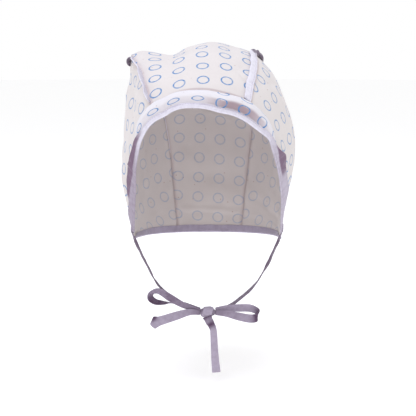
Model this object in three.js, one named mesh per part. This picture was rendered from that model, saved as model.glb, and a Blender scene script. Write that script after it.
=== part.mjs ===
import * as THREE from 'three';

// Radiation protection cap: a cotton cap worn over the hair and tied under the chin, in its worn form.
// A centre panel runs from the forehead over the crown to the nape, between two side panels over the ears.
// The seams are turned outwards and bound with tape, a cuff is turned up along the face opening, and the
// tape that binds the face opening runs on as two ties, which end in a bow under the chin.
// Millimetres. -Y is the wearer's front, +Z is up, left and right are as seen from the front (left is -X).
// The origin is the inside top of the crown, where the cap sits on the head.

// --- Driving dimensions ------------------------------------------------------------------------------

const CLOTH = 2.0; // wall of the printed cotton, with its turned-in seam allowance
const CUFF = 1.6; // wall of the turned-up front band
const TAPE = 1.2; // folded bias tape
const BOUND_SEAM = 2 * TAPE; // a seam allowance with tape on both sides
const GAP = 0.3; // clearance between neighbouring pieces
const EASE = 0.8; // clearance of tape and cuff over the curved cloth

// The lower corners, where the ties begin. Every section of the cap is a plane through the line between them.
const CORNER = { left: 79, right: 74, forward: 40, down: 198 };
const CORNER_STOP = 9; // the cloth ends this far short of that line
const TAPE_STOP = 3; // and the tape on its edges this much further
const FLARE = { left: 0.38, right: 0.55 }; // share of the height over which the sides draw in to the corners

// Sections of the cap from the face opening over the crown to the neck edge.
// fan: the plane's angle about the corner line, 0 forwards and 90 up
// reach: from the corner line to the outside of the arch; half: half width; shift: sideways lean of the top
// top and side: exponents of the arch, a higher one is squarer
// seamLeft, seamRight: the seams, measured along the cloth from the middle line
// ridgeLeft, ridgeRight: how far the stiff bound seams hold the cloth off the head
const sections = [
  { fan: 62, reach: 160, half: 76, shift: -14.5, top: 2.16, side: 3.8,
    seamLeft: 44, seamRight: 52, ridgeLeft: 0, ridgeRight: 0 },
  { fan: 66, reach: 166.5, half: 79.5, shift: -12.5, top: 2.14, side: 3.65,
    seamLeft: 46, seamRight: 53, ridgeLeft: 2, ridgeRight: 1 },
  { fan: 74, reach: 176.5, half: 83.5, shift: -9, top: 2.1, side: 3.35,
    seamLeft: 53, seamRight: 53.5, ridgeLeft: 8, ridgeRight: 2 },
  { fan: 86, reach: 190, half: 89.5, shift: -4, top: 2, side: 3.4,
    seamLeft: 62, seamRight: 53.5, ridgeLeft: 14, ridgeRight: 3 },
  { fan: 93, reach: 195.5, half: 92.5, shift: -2, top: 2, side: 3.5,
    seamLeft: 66.5, seamRight: 50.5, ridgeLeft: 21.2, ridgeRight: 4.5 },
  { fan: 100, reach: 202, half: 93.5, shift: 0, top: 2, side: 3.6,
    seamLeft: 69, seamRight: 48.5, ridgeLeft: 26.5, ridgeRight: 5 },
  { fan: 108, reach: 206, half: 93, shift: 0, top: 2, side: 3.5,
    seamLeft: 66, seamRight: 49, ridgeLeft: 17, ridgeRight: 5 },
  { fan: 118, reach: 200, half: 91, shift: 0, top: 2.1, side: 3.3,
    seamLeft: 60, seamRight: 51.5, ridgeLeft: 7, ridgeRight: 4 },
  { fan: 130, reach: 184, half: 90, shift: 0, top: 2.2, side: 3.1,
    seamLeft: 54, seamRight: 51, ridgeLeft: 4, ridgeRight: 3 },
  { fan: 148, reach: 156, half: 87, shift: 0, top: 2.3, side: 2.8,
    seamLeft: 46, seamRight: 47, ridgeLeft: 2, ridgeRight: 2 },
  { fan: 168, reach: 125, half: 82, shift: 0, top: 2.3, side: 2.6,
    seamLeft: 40, seamRight: 41, ridgeLeft: 1, ridgeRight: 1 },
  { fan: 186, reach: 104, half: 76, shift: 0, top: 2.2, side: 2.5,
    seamLeft: 36, seamRight: 37, ridgeLeft: 0, ridgeRight: 0 },
];
const RIDGE = { inner: 19, outer: 36 }; // how far a ridge spreads over the centre panel and down the side
const FACE = sections[0].fan;
const NAPE = sections.at(-1).fan;

// Main folds of the worn cloth. Each is a soft dent (or, with a negative depth, a roll) at a plane's angle
// and a length along the cloth from the middle line, with its spread in degrees and in millimetres.
const folds = [
  { fan: 101, along: -43, fanSpread: 24, alongSpread: 10.5, depth: 3.8 }, // saddle beside the left ridge
  { fan: 103, along: 4, fanSpread: 13, alongSpread: 20, depth: -2.6 }, // crown of the head
  { fan: 96, along: -85, fanSpread: 16, alongSpread: 12, depth: 7.3 }, // the cloth draws in below both ridges
  { fan: 99, along: 62, fanSpread: 26, alongSpread: 12, depth: 0.4 },
  { fan: 84, along: 42, fanSpread: 2.6, alongSpread: 11, depth: 1.6 }, // crease across the right seam
  { fan: 78, along: -185, fanSpread: 5, alongSpread: 55, depth: 2.5 }, // folds drawn up from the left corner
  { fan: 104, along: -190, fanSpread: 8, alongSpread: 50, depth: 3 },
  { fan: 140, along: -180, fanSpread: 9, alongSpread: 45, depth: 2.5 },
  { fan: 80, along: 182, fanSpread: 5, alongSpread: 55, depth: 2.5 }, // and from the right corner
  { fan: 108, along: 186, fanSpread: 8, alongSpread: 50, depth: 3 },
  { fan: 144, along: 176, fanSpread: 9, alongSpread: 45, depth: 2.5 },
  { fan: 152, along: -4, fanSpread: 5, alongSpread: 42, depth: 3 }, // slack over the nape
  { fan: 166, along: 20, fanSpread: 5, alongSpread: 46, depth: 2.6 },
  { fan: 62, along: 124, fanSpread: 7, alongSpread: 36, depth: 2.6 }, // the face edge pulls in at the temples
  { fan: 62, along: -32, fanSpread: 6, alongSpread: 10, depth: 2.6 },
  { fan: 62, along: 24, fanSpread: 6, alongSpread: 12, depth: 2 },
  { fan: 62, along: 84, fanSpread: 6, alongSpread: 10, depth: -2.4 },
];

// The turned-up band along the face opening, from temple to temple.
// It rolls out by the puff over the part of its width above the tape.
const BAND = {
  left: -104, right: 104, width: 19, endWidth: 9, taper: 34,
  puff: 3.4, puffFrom: 0.3, puffStart: 24, puffFull: 59,
};
const BAND_LIP = { start: 7, full: 1 }; // the tape starts to rise over the band this far outside its end

// Legs of the folded tape on each side of an edge: at the middle, and beside the face.
const FACE_TAPE = { outer: 5.5, outerSide: 9, inner: 6, sideFrom: 98, sideTo: 116 };
const NECK_TAPE = { outer: 7.5, inner: 7.5 };
const LEG_SHARE = 0.5; // most of the height above a corner that a leg may cover

// Bound seams. lean: 0 lies flat on the centre panel, 90 stands up; width and lean make the ear at the crown.
const leftSeam = [
  { fan: 69.5, lean: 80, width: 7 },
  { fan: 84, lean: 80, width: 7 },
  { fan: 91, lean: 82, width: 6.5 },
  { fan: 94.6, lean: 92, width: 5 },
  { fan: 97, lean: 130, width: 7 },
  { fan: 99.5, lean: 165, width: 9.5 },
  { fan: 103, lean: 168, width: 9 },
  { fan: 110, lean: 148, width: 7.5 },
  { fan: 126, lean: 90, width: 7 },
  { fan: 150, lean: 60, width: 7.5 },
  { fan: 180.5, lean: 15, width: 8 },
];
const rightSeam = [
  { fan: 70, lean: 4, width: 8.5 },
  { fan: 86, lean: 4, width: 8.5 },
  { fan: 93, lean: 8, width: 8.8 },
  { fan: 98, lean: 50, width: 6.5 },
  { fan: 101, lean: 100, width: 7 },
  { fan: 104, lean: 150, width: 9 },
  { fan: 109, lean: 140, width: 8.5 },
  { fan: 126, lean: 80, width: 7 },
  { fan: 150, lean: 40, width: 7.5 },
  { fan: 180.5, lean: 8, width: 8 },
];

// Flat tape in the open air. x, y, z: the middle of the tape; ax, ay, az: the way its width points there.
const tieLeft = [
  { x: -79.0, y: -40.6, z: -190.8, ax: 0, ay: -1, az: 0.2, width: 5.5 },
  { x: -78.2, y: -41.8, z: -195.0, ax: 0.05, ay: -1, az: 0.25, width: 6.8 },
  { x: -76.5, y: -44.5, z: -200.5, ax: 0.1, ay: -1, az: 0.3, width: 7.5 },
  { x: -72.0, y: -47.5, z: -209.5, ax: 0.3, ay: -1, az: 0.2, width: 8.5 },
  { x: -65.5, y: -49.5, z: -222.5, ax: 0.35, ay: -1, az: 0.2, width: 8.5 },
  { x: -52.0, y: -55.0, z: -245.0, ax: 0, ay: -1, az: 0, width: 8.5 },
  { x: -31.0, y: -57.5, z: -262.0, ax: 0.1, ay: -1, az: -0.3, width: 8.0 },
  { x: -10.5, y: -65.0, z: -272.0, ax: 0.3, ay: -1, az: -0.6, width: 6.0 },
];
const tieRight = [
  { x: 73.8, y: -40.6, z: -190.8, ax: 0, ay: -1, az: 0.2, width: 5.5 },
  { x: 72.9, y: -41.8, z: -195.0, ax: -0.05, ay: -1, az: 0.25, width: 6.8 },
  { x: 71.0, y: -44.5, z: -200.5, ax: -0.1, ay: -1, az: 0.3, width: 7.5 },
  { x: 66.5, y: -47.5, z: -209.5, ax: -0.3, ay: -1, az: 0.2, width: 8.5 },
  { x: 60.5, y: -49.5, z: -222.5, ax: -0.35, ay: -1, az: 0.2, width: 8.5 },
  { x: 47.0, y: -55.0, z: -243.5, ax: 0, ay: -1, az: 0, width: 8.5 },
  { x: 27.5, y: -57.5, z: -261.0, ax: -0.1, ay: -1, az: -0.3, width: 8.0 },
  { x: 7.5, y: -65.0, z: -272.0, ax: -0.3, ay: -1, az: -0.6, width: 6.0 },
];
const loopLeft = [
  { x: -10.1, y: -73.5, z: -266.6, ax: 0.2, ay: -0.5, az: 1, width: 4.5 },
  { x: -25.0, y: -76.5, z: -260.8, ax: 0.5, ay: -0.4, az: 1, width: 7.0 },
  { x: -40.0, y: -78.0, z: -252.0, ax: 0.6, ay: -0.4, az: 1, width: 8.0 },
  { x: -51.0, y: -77.5, z: -245.5, ax: 0.3, ay: -0.6, az: 1, width: 8.0 },
  { x: -58.5, y: -74.5, z: -248.0, ax: -0.7, ay: -0.9, az: 0.5, width: 8.0 },
  { x: -60.0, y: -70.5, z: -254.0, ax: -0.7, ay: -1, az: -0.2, width: 8.0 },
  { x: -55.0, y: -67.5, z: -258.8, ax: -0.2, ay: -1, az: -0.5, width: 8.0 },
  { x: -46.0, y: -67.0, z: -260.0, ax: 0.1, ay: -1, az: -0.2, width: 8.0 },
  { x: -35.0, y: -67.5, z: -259.8, ax: 0.1, ay: -1, az: 0.5, width: 7.5 },
  { x: -22.0, y: -68.5, z: -262.0, ax: 0.3, ay: -0.8, az: 0.8, width: 6.0 },
  { x: -10.1, y: -69.5, z: -266.0, ax: 0.3, ay: -0.6, az: 0.8, width: 4.5 },
];
const tailLeft = [
  { x: -10.1, y: -74.8, z: -271.8, ax: 0.2, ay: 0.3, az: 1, width: 3.8 },
  { x: -20.0, y: -78.0, z: -268.8, ax: 0.25, ay: 0.3, az: 1, width: 6.0 },
  { x: -33.0, y: -77.5, z: -271.2, ax: 0.3, ay: 0.3, az: 1, width: 8.5 },
  { x: -45.5, y: -77.5, z: -274.8, ax: 0.35, ay: 0.2, az: 1, width: 9.0 },
  { x: -53.5, y: -77.2, z: -277.4, ax: 0.38, ay: 0.25, az: 1, width: 9.8 },
  { x: -60.0, y: -76.6, z: -279.6, ax: 0.42, ay: 0.3, az: 1, width: 11.0 },
];
const loopRight = [
  { x: 6.4, y: -69.8, z: -266.4, ax: 0, ay: -0.4, az: 1, width: 4.5 },
  { x: 18.0, y: -69.0, z: -265.4, ax: -0.2, ay: -0.3, az: 1, width: 7.5 },
  { x: 31.5, y: -68.0, z: -265.2, ax: 0, ay: -0.3, az: 1, width: 8.5 },
  { x: 43.0, y: -68.0, z: -265.8, ax: 0.1, ay: -0.3, az: 1, width: 8.5 },
  { x: 49.5, y: -71.5, z: -268.8, ax: 0.3, ay: -0.4, az: 1, width: 8.5 },
  { x: 48.0, y: -77.5, z: -272.8, ax: 0.2, ay: 0.2, az: 1, width: 8.5 },
  { x: 41.5, y: -79.5, z: -273.4, ax: 0.1, ay: 0.2, az: 1, width: 8.5 },
  { x: 28.5, y: -78.5, z: -271.2, ax: 0.1, ay: 0.2, az: 1, width: 8.0 },
  { x: 17.5, y: -76.0, z: -269.2, ax: 0.1, ay: 0.3, az: 1, width: 6.5 },
  { x: 6.4, y: -74.2, z: -268.8, ax: 0, ay: 0.4, az: 1, width: 4.5 },
];
const tailCentre = [
  { x: -2.0, y: -78.6, z: -271.8, ax: 1, ay: 0.1, az: 0, width: 9.5 },
  { x: -0.6, y: -79.6, z: -275.4, ax: 1, ay: 0.3, az: -0.3, width: 9.0 },
  { x: 1.6, y: -79.6, z: -279.4, ax: 1, ay: -0.2, az: 0, width: 7.6 },
  { x: 3.6, y: -79.0, z: -284.0, ax: 1, ay: 0.2, az: 0.3, width: 7.0 },
  { x: 4.4, y: -78.0, z: -291.0, ax: 1, ay: 0.1, az: 0, width: 7.0 },
  { x: 5.0, y: -77.0, z: -304.0, ax: 1, ay: -0.1, az: 0, width: 7.3 },
  { x: 5.8, y: -76.5, z: -317.0, ax: 1, ay: 0.1, az: 0, width: 8.0 },
  { x: 7.1, y: -76.0, z: -331.0, ax: 1, ay: 0, az: 0.1, width: 8.8 },
];
const KNOT = { x: -1.8, y: -71.5, z: -268.6, wide: 7.9, deep: 5.6, high: 6.0, square: 0.72 };

// --- The cap's surface -------------------------------------------------------------------------------

const radians = THREE.MathUtils.degToRad;
const { lerp, smoothstep } = THREE.MathUtils;

// Smooth value of a table's column at a value of its key column: a cubic through the rows.
function read(table, key, value, column) {
  const last = table.length - 1;
  let i = table.findIndex((row) => row[key] > value) - 1;
  if (i < 0) i = value <= table[0][key] ? 0 : last - 1;
  const [a, b] = [table[i], table[i + 1]];
  const before = table[Math.max(i - 1, 0)];
  const after = table[Math.min(i + 2, last)];
  const span = b[key] - a[key];
  const t = THREE.MathUtils.clamp((value - a[key]) / span, 0, 1);
  const slopeA = ((b[column] - before[column]) / (b[key] - before[key])) * span;
  const slopeB = ((after[column] - a[column]) / (after[key] - a[key])) * span;
  const t2 = t * t;
  const t3 = t2 * t;
  return (2 * t3 - 3 * t2 + 1) * a[column] + (t3 - 2 * t2 + t) * slopeA
    + (3 * t2 - 2 * t3) * b[column] + (t3 - t2) * slopeB;
}

// One section as an arch of closely spaced points, each with its length along the cloth from the middle line.
const arches = new Map();
function arch(fan) {
  if (arches.has(fan)) return arches.get(fan);
  const row = {};
  for (const name of Object.keys(sections[0])) row[name] = read(sections, 'fan', fan, name);
  const steps = 160;
  const points = [];
  for (let i = -steps; i <= steps; i++) {
    const turn = (Math.PI / 2) * (i / steps);
    const rise = Math.max(Math.cos(turn), 0) ** (2 / row.side);
    const wide = Math.sign(turn) * Math.abs(Math.sin(turn)) ** (2 / row.top);
    const side = turn < 0 ? 'left' : 'right';
    const half = lerp(CORNER[side], row.half, smoothstep(rise, 0, FLARE[side]));
    points.push({ x: wide * half + row.shift * rise ** 4, r: rise * row.reach, along: 0 });
  }
  for (let i = 1; i <= steps; i++) {
    for (const sign of [-1, 1]) {
      const [a, b] = [points[steps + sign * (i - 1)], points[steps + sign * i]];
      b.along = a.along + sign * Math.hypot(b.x - a.x, b.r - a.r);
    }
  }
  const made = { row, points, left: points[0].along, right: points[2 * steps].along };
  arches.set(fan, made);
  return made;
}

// A point of the arch at a length along the cloth, with the arch's outward direction there.
function archPoint(fan, along) {
  const { points } = arch(fan);
  let low = 0;
  let high = points.length - 1;
  while (high - low > 1) {
    const middle = (low + high) >> 1;
    if (points[middle].along > along) high = middle;
    else low = middle;
  }
  const [a, b] = [points[low], points[high]];
  const t = (along - a.along) / (b.along - a.along);
  const from = points[Math.max(low - 3, 0)];
  const to = points[Math.min(high + 3, points.length - 1)];
  const run = Math.hypot(to.x - from.x, to.r - from.r);
  return {
    x: lerp(a.x, b.x, t),
    r: lerp(a.r, b.r, t),
    outX: (from.r - to.r) / run,
    outR: (to.x - from.x) / run,
  };
}

// How far the cloth stands off its plain arch: out at the bound seams, in at the folds.
function lift(row, along) {
  const left = along + row.seamLeft;
  const right = along - row.seamRight;
  const leftSpread = left > 0 ? RIDGE.inner : RIDGE.outer;
  const rightSpread = right < 0 ? RIDGE.inner : RIDGE.outer;
  let height = row.ridgeLeft * Math.exp(-((left / leftSpread) ** 2))
    + row.ridgeRight * Math.exp(-((right / rightSpread) ** 2));
  for (const fold of folds) {
    const turn = (row.fan - fold.fan) / fold.fanSpread;
    const way = (along - fold.along) / fold.alongSpread;
    height -= fold.depth * Math.exp(-turn * turn - way * way);
  }
  return height;
}

// The outside of the cloth at a section and a length along it.
function skin(fan, along) {
  const { row } = arch(fan);
  const point = archPoint(fan, along);
  const height = lift(row, along);
  const r = point.r + point.outR * height;
  return new THREE.Vector3(
    point.x + point.outX * height,
    -CORNER.forward - r * Math.cos(radians(fan)),
    -CORNER.down + r * Math.sin(radians(fan)),
  );
}

// A point off the outside of the cloth, with the surface's directions: back from the face, across to +X, out.
function place(fan, along, off = 0) {
  const back = skin(fan + 0.4, along).sub(skin(fan - 0.4, along));
  const across = skin(fan, along + 0.8).sub(skin(fan, along - 0.8)).normalize();
  const out = new THREE.Vector3().crossVectors(across, back).normalize();
  back.crossVectors(out, across).normalize();
  return { point: skin(fan, along).addScaledVector(out, off), back, across, out };
}

// --- Solids ------------------------------------------------------------------------------------------

function mesh(name, geometry, color, roughness) {
  geometry.computeVertexNormals();
  const made = new THREE.Mesh(geometry, new THREE.MeshStandardMaterial({ color, roughness, metalness: 0 }));
  made.name = name;
  return made;
}

// A closed solid from rings of points: each ring is joined to the next, and the first and last are capped
// with the faces given for one ring.
function loft(rings, cap) {
  const count = rings[0].length;
  const position = rings.flat().flatMap((point) => point.toArray());
  const index = [];
  for (let i = 0; i + 1 < rings.length; i++) {
    for (let j = 0; j < count; j++) {
      const next = (j + 1) % count;
      const [a, b, c, d] = [i * count + j, i * count + next, (i + 1) * count + next, (i + 1) * count + j];
      index.push(a, b, c, a, c, d);
    }
  }
  const end = (rings.length - 1) * count;
  for (const [a, b, c] of cap) index.push(a, c, b, end + a, end + b, end + c);
  const geometry = new THREE.BufferGeometry();
  geometry.setAttribute('position', new THREE.Float32BufferAttribute(position, 3));
  geometry.setIndex(index);
  return geometry;
}

// Faces of a ring made of an outer row of points and an inner row running back under it.
function stripCap(pairs) {
  const faces = [];
  const last = 2 * pairs - 1;
  for (let j = 0; j + 1 < pairs; j++) {
    faces.push([j, j + 1, last - j], [j + 1, last - j - 1, last - j]);
  }
  return faces;
}

// A wall between two grids of points, outer[i][j] and inner[i][j].
function wall(outer, inner) {
  const rings = outer.map((row, i) => [...row, ...inner[i].toReversed()]);
  return loft(rings, stripCap(outer[0].length));
}

// Even steps from one value to another, drawn towards the start by a bias above 1.
function steps(from, to, count, bias = 1) {
  return Array.from({ length: count + 1 }, (_, i) => from + (to - from) * (i / count) ** bias);
}

// A panel of the cap: its sections from the face opening to the neck edge, between two lengths along them.
function panel(rows, columns, from, to) {
  const outer = [];
  const inner = [];
  for (const fan of steps(FACE, NAPE, rows, 1.25)) {
    const across = steps(from(arch(fan)), to(arch(fan)), columns);
    outer.push(across.map((along) => place(fan, along).point));
    inner.push(across.map((along) => place(fan, along, -CLOTH).point));
  }
  return wall(outer, inner);
}

// Where the cloth stops beside a corner: short of the corner line, measured along the cloth.
const leftEnd = (section) => section.left + CORNER_STOP;
const rightEnd = (section) => section.right - CORNER_STOP;

// Share of the full band at a length along the face edge: it narrows and flattens towards both ends.
function bandShare(along, from, to) {
  return smoothstep(Math.min(along - BAND.left, BAND.right - along), from, to);
}

// Fan angle of the section that lies a width away over the cloth, back from the face or up from the neck.
function fanAway(fan, along, width, into) {
  const stride = 0.5;
  let here = skin(fan, along);
  let gone = 0;
  for (let turn = stride; ; turn += stride) {
    const next = skin(fan + into * turn, along);
    const leg = next.distanceTo(here);
    if (gone + leg >= width) return fan + into * (turn - stride + (stride * (width - gone)) / leg);
    gone += leg;
    here = next;
  }
}

function frontBand() {
  const outer = [];
  const inner = [];
  for (const along of steps(BAND.left, BAND.right, 40)) {
    const width = lerp(BAND.endWidth, BAND.width, bandShare(along, 0, BAND.taper));
    const outerRow = [];
    const innerRow = [];
    for (const t of steps(1, 0, 6)) {
      const swell = Math.sin(Math.PI * Math.max(0, (t - BAND.puffFrom) / (1 - BAND.puffFrom)));
      const off = EASE + BAND.puff * swell * bandShare(along, BAND.puffStart, BAND.puffFull);
      const fan = fanAway(FACE, along, width * t, 1);
      innerRow.push(place(fan, along, off).point);
      outerRow.push(place(fan, along, off + CUFF).point);
    }
    outer.push(outerRow);
    inner.push(innerRow);
  }
  return wall(outer, inner);
}

// Tape folded over an edge: a U round the cloth, its outer leg on whatever lies outside the cloth there.
function foldedTape(fan, into, stations, legs, stack, parts) {
  const rings = stations.map((along) => {
    const { point, back, out } = place(fan, along);
    const { outer, inner } = legs(along);
    const top = stack(along) + EASE;
    const bottom = -CLOTH - EASE;
    const leg = (from, to, off) => steps(from, to, parts).map((deep) => [deep, off]);
    const profile = [
      ...leg(outer, 0, top + TAPE), [-GAP - TAPE, top], [-GAP - TAPE, bottom],
      ...leg(0, inner, bottom - TAPE), ...leg(inner, 0, bottom), ...leg(0, outer, top),
    ];
    return profile.map(([deep, off]) => {
      if (deep > 0) return place(fanAway(fan, along, deep, into), along, off).point;
      return point.clone().addScaledVector(back, into * (deep || -GAP)).addScaledVector(out, off);
    });
  });
  const last = 4 * parts + 5;
  const faces = [];
  for (let k = 0; k < parts; k++) {
    faces.push([k, k + 1, last - k], [k + 1, last - k - 1, last - k]);
    const low = parts + 3 + k;
    const high = 3 * parts + 4 - k;
    faces.push([low, low + 1, high], [low + 1, high - 1, high]);
  }
  const [topOut, noseTop, noseLow, lowOut] = [parts, parts + 1, parts + 2, parts + 3];
  const [lowIn, topIn] = [3 * parts + 4, 3 * parts + 5];
  faces.push([topOut, noseTop, topIn], [noseTop, noseLow, topIn]);
  faces.push([noseLow, lowIn, topIn], [noseLow, lowOut, lowIn]);
  return loft(into > 0 ? rings : rings.toReversed(), faces);
}

function seamBinding(table, side) {
  const rings = [];
  const sign = side === 'seamLeft' ? -1 : 1;
  for (const fan of steps(table[0].fan, table.at(-1).fan, 44)) {
    const along = sign * arch(fan).row[side];
    const { point, across, out } = place(fan, along);
    const lean = radians(read(table, 'fan', fan, 'lean'));
    const width = read(table, 'fan', fan, 'width');
    const run = across.clone().multiplyScalar(-sign * Math.cos(lean)).addScaledVector(out, Math.sin(lean));
    const thick = across.clone().multiplyScalar(sign * Math.sin(lean)).addScaledVector(out, Math.cos(lean));
    const half = BOUND_SEAM / 2;
    const foot = point.clone().addScaledVector(out, EASE + half * Math.abs(Math.cos(lean)));
    const corners = [[0, half], [width, half], [width, -half], [0, -half]];
    const ring = corners.map(([far, up]) => foot.clone()
      .addScaledVector(run, far).addScaledVector(thick, up));
    rings.push(sign > 0 ? ring.toReversed() : ring);
  }
  return loft(rings, [[0, 1, 2], [0, 2, 3]]);
}

// Flat tape in the open air, along a route table, with a few spans from row to row.
function ribbon(table, spans = 5) {
  const route = table.map((row) => new THREE.Vector3(row.x, row.y, row.z));
  const middle = new THREE.CatmullRomCurve3(route, false, 'centripetal');
  const last = table.length - 1;
  const keyed = table.map((row, i) => ({ ...row, key: i }));
  const rings = [];
  for (let i = 0; i <= spans * last; i++) {
    const t = i / (spans * last);
    const tangent = middle.getTangent(t);
    const width = new THREE.Vector3(...['ax', 'ay', 'az'].map((name) => read(keyed, 'key', t * last, name)));
    width.addScaledVector(tangent, -width.dot(tangent)).normalize();
    const face = new THREE.Vector3().crossVectors(tangent, width);
    const half = read(keyed, 'key', t * last, 'width') / 2;
    const point = middle.getPoint(t);
    rings.push([[-half, -1], [half, -1], [half, 1], [-half, 1]].map(([far, up]) => point.clone()
      .addScaledVector(width, far).addScaledVector(face, (up * TAPE) / 2)));
  }
  return loft(rings, [[0, 1, 2], [0, 2, 3]]);
}

function knot() {
  const geometry = new THREE.SphereGeometry(1, 16, 10);
  const position = geometry.attributes.position;
  const round = (value) => Math.sign(value) * Math.abs(value) ** KNOT.square;
  for (let i = 0; i < position.count; i++) {
    const [x, y, z] = [position.getX(i), position.getY(i), position.getZ(i)].map(round);
    position.setXYZ(i, KNOT.x + x * KNOT.wide, KNOT.y + y * KNOT.deep, KNOT.z + z * KNOT.high);
  }
  return geometry;
}

// --- The cap -----------------------------------------------------------------------------------------

const CREAM = '#efe6e4';
const LAVENDER = '#b3a7bb';
const PALE_LAVENDER = '#e3dfed';

function edgeStations(fan, count) {
  return steps(leftEnd(arch(fan)) + TAPE_STOP, rightEnd(arch(fan)) - TAPE_STOP, count);
}

function faceLegs(along) {
  const side = smoothstep(Math.abs(along), FACE_TAPE.sideFrom, FACE_TAPE.sideTo);
  const room = LEG_SHARE * Math.abs(archPoint(FACE, along).r);
  return {
    outer: Math.min(lerp(FACE_TAPE.outer, FACE_TAPE.outerSide, side), room),
    inner: Math.min(FACE_TAPE.inner, room),
  };
}

function neckLegs(along) {
  const room = LEG_SHARE * Math.abs(archPoint(NAPE, along).r);
  return { outer: Math.min(NECK_TAPE.outer, room), inner: Math.min(NECK_TAPE.inner, room) };
}

// Height of the band that lies under the tape.
const faceStack = (along) => (EASE + CUFF) * bandShare(along, -BAND_LIP.start, -BAND_LIP.full);

const centreLeft = ({ row }) => -row.seamLeft + GAP / 2;
const centreRight = ({ row }) => row.seamRight - GAP / 2;
const sideLeft = ({ row }) => -row.seamLeft - GAP / 2;
const sideRight = ({ row }) => row.seamRight + GAP / 2;
const faceTape = foldedTape(FACE, 1, edgeStations(FACE, 52), faceLegs, faceStack, 3);
const neckTape = foldedTape(NAPE, -1, edgeStations(NAPE, 40), neckLegs, () => 0, 2);

const cap = new THREE.Group();
cap.add(
  mesh('centre_panel', panel(24, 10, centreLeft, centreRight), CREAM, 0.9),
  mesh('side_panel_left', panel(24, 15, leftEnd, sideLeft), CREAM, 0.9),
  mesh('side_panel_right', panel(24, 15, sideRight, rightEnd), CREAM, 0.9),
  mesh('front_band', frontBand(), CREAM, 0.9),
  mesh('front_edge_binding', faceTape, PALE_LAVENDER, 0.8),
  mesh('neck_edge_binding', neckTape, PALE_LAVENDER, 0.8),
  mesh('seam_binding_left', seamBinding(leftSeam, 'seamLeft'), PALE_LAVENDER, 0.8),
  mesh('seam_binding_right', seamBinding(rightSeam, 'seamRight'), PALE_LAVENDER, 0.8),
  mesh('chin_tie_left', ribbon(tieLeft), LAVENDER, 0.8),
  mesh('chin_tie_right', ribbon(tieRight), LAVENDER, 0.8),
  mesh('bow_loop_left', ribbon(loopLeft), LAVENDER, 0.8),
  mesh('bow_loop_right', ribbon(loopRight), LAVENDER, 0.8),
  mesh('tie_tail_left', ribbon(tailLeft), LAVENDER, 0.8),
  mesh('tie_tail_centre', ribbon(tailCentre), LAVENDER, 0.8),
  mesh('bow_knot', knot(), LAVENDER, 0.8),
);
export default cap;
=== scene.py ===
"""Radiation protection cap: printed cotton in three panels with bound seams, a turned-up front band, and tape
ties that fasten in a bow under the chin. It is shown in its worn form."""
from math import radians

import bpy
import numpy as np
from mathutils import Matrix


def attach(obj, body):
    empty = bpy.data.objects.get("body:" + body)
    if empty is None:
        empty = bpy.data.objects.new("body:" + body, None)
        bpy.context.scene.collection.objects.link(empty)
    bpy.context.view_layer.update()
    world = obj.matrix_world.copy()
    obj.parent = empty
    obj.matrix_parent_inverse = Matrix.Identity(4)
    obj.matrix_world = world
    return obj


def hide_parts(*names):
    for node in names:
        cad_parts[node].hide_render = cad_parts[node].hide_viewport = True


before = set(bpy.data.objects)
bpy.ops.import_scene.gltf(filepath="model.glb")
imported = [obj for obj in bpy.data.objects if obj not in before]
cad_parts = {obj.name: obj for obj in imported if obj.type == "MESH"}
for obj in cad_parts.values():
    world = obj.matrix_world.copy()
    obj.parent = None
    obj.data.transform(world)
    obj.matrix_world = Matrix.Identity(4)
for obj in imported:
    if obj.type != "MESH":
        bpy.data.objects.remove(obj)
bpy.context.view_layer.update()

# -----------------------------------------------------------------------------
# Camera. It faces the wearer from about a metre away, a little above the crown and tilted down, with a
# lens long enough to keep the cap's proportions.
camera = bpy.data.objects.new("camera", bpy.data.cameras.new("camera"))
camera.data.lens = 93.5
camera.location = (-0.0015, -1.145, 0.009)
camera.rotation_euler = (radians(90 - 9), 0, 0)
bpy.context.scene.collection.objects.link(camera)
bpy.context.scene.camera = camera

# -----------------------------------------------------------------------------
# Centre panel. A strip of printed cotton from the forehead over the crown to the nape, seamed on both
# long edges to the side panels. On the head it lies over the hair, so it is high at the crown and slack
# at the nape.
MM = 0.001  # every size below is in millimetres

# The worn form is a fan of sections, planes through the line between the two lower corners where the ties
# begin.
CORNER = {"left": 79, "right": 74, "forward": 40, "down": 198}
CORNER_STOP = 3  # the cloth ends this far short of that line
FLARE = {"left": 0.38, "right": 0.55}  # share of the height over which the sides draw in to the corners
SECTION = ("fan", "reach", "half", "shift", "top", "side",
           "seam_left", "seam_right", "ridge_left", "ridge_right")
sections = np.array([
    # fan, reach, half width, shift of the top, exponents of top and side,
    # the seams' lengths from the middle line, the ridges that the seams lift
    (62, 160, 76, -14.5, 2.16, 3.8, 44, 52, 0, 0),
    (66, 166.5, 79.5, -12.5, 2.14, 3.65, 46, 53, 2, 1),
    (74, 176.5, 83.5, -9, 2.1, 3.35, 53, 53.5, 8, 2),
    (86, 190, 89.5, -4, 2.0, 3.4, 62, 53.5, 14, 3),
    (93, 195.5, 92.5, -2, 2.0, 3.5, 66.5, 50.5, 21.2, 4.5),
    (100, 202, 93.5, 0, 2.0, 3.6, 69, 48.5, 26.5, 5),
    (108, 206, 93, 0, 2.0, 3.5, 66, 49, 17, 5),
    (118, 200, 91, 0, 2.1, 3.3, 60, 51.5, 7, 4),
    (130, 184, 90, 0, 2.2, 3.1, 54, 51, 4, 3),
    (148, 156, 87, 0, 2.3, 2.8, 46, 47, 2, 2),
    (168, 125, 82, 0, 2.3, 2.6, 40, 41, 1, 1),
    (186, 104, 76, 0, 2.2, 2.5, 36, 37, 0, 0),
])
FACE, NAPE = sections[0, 0], sections[-1, 0]
RIDGE = {"inner": 19, "outer": 36}  # how far a ridge spreads over the centre panel and down the side

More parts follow.
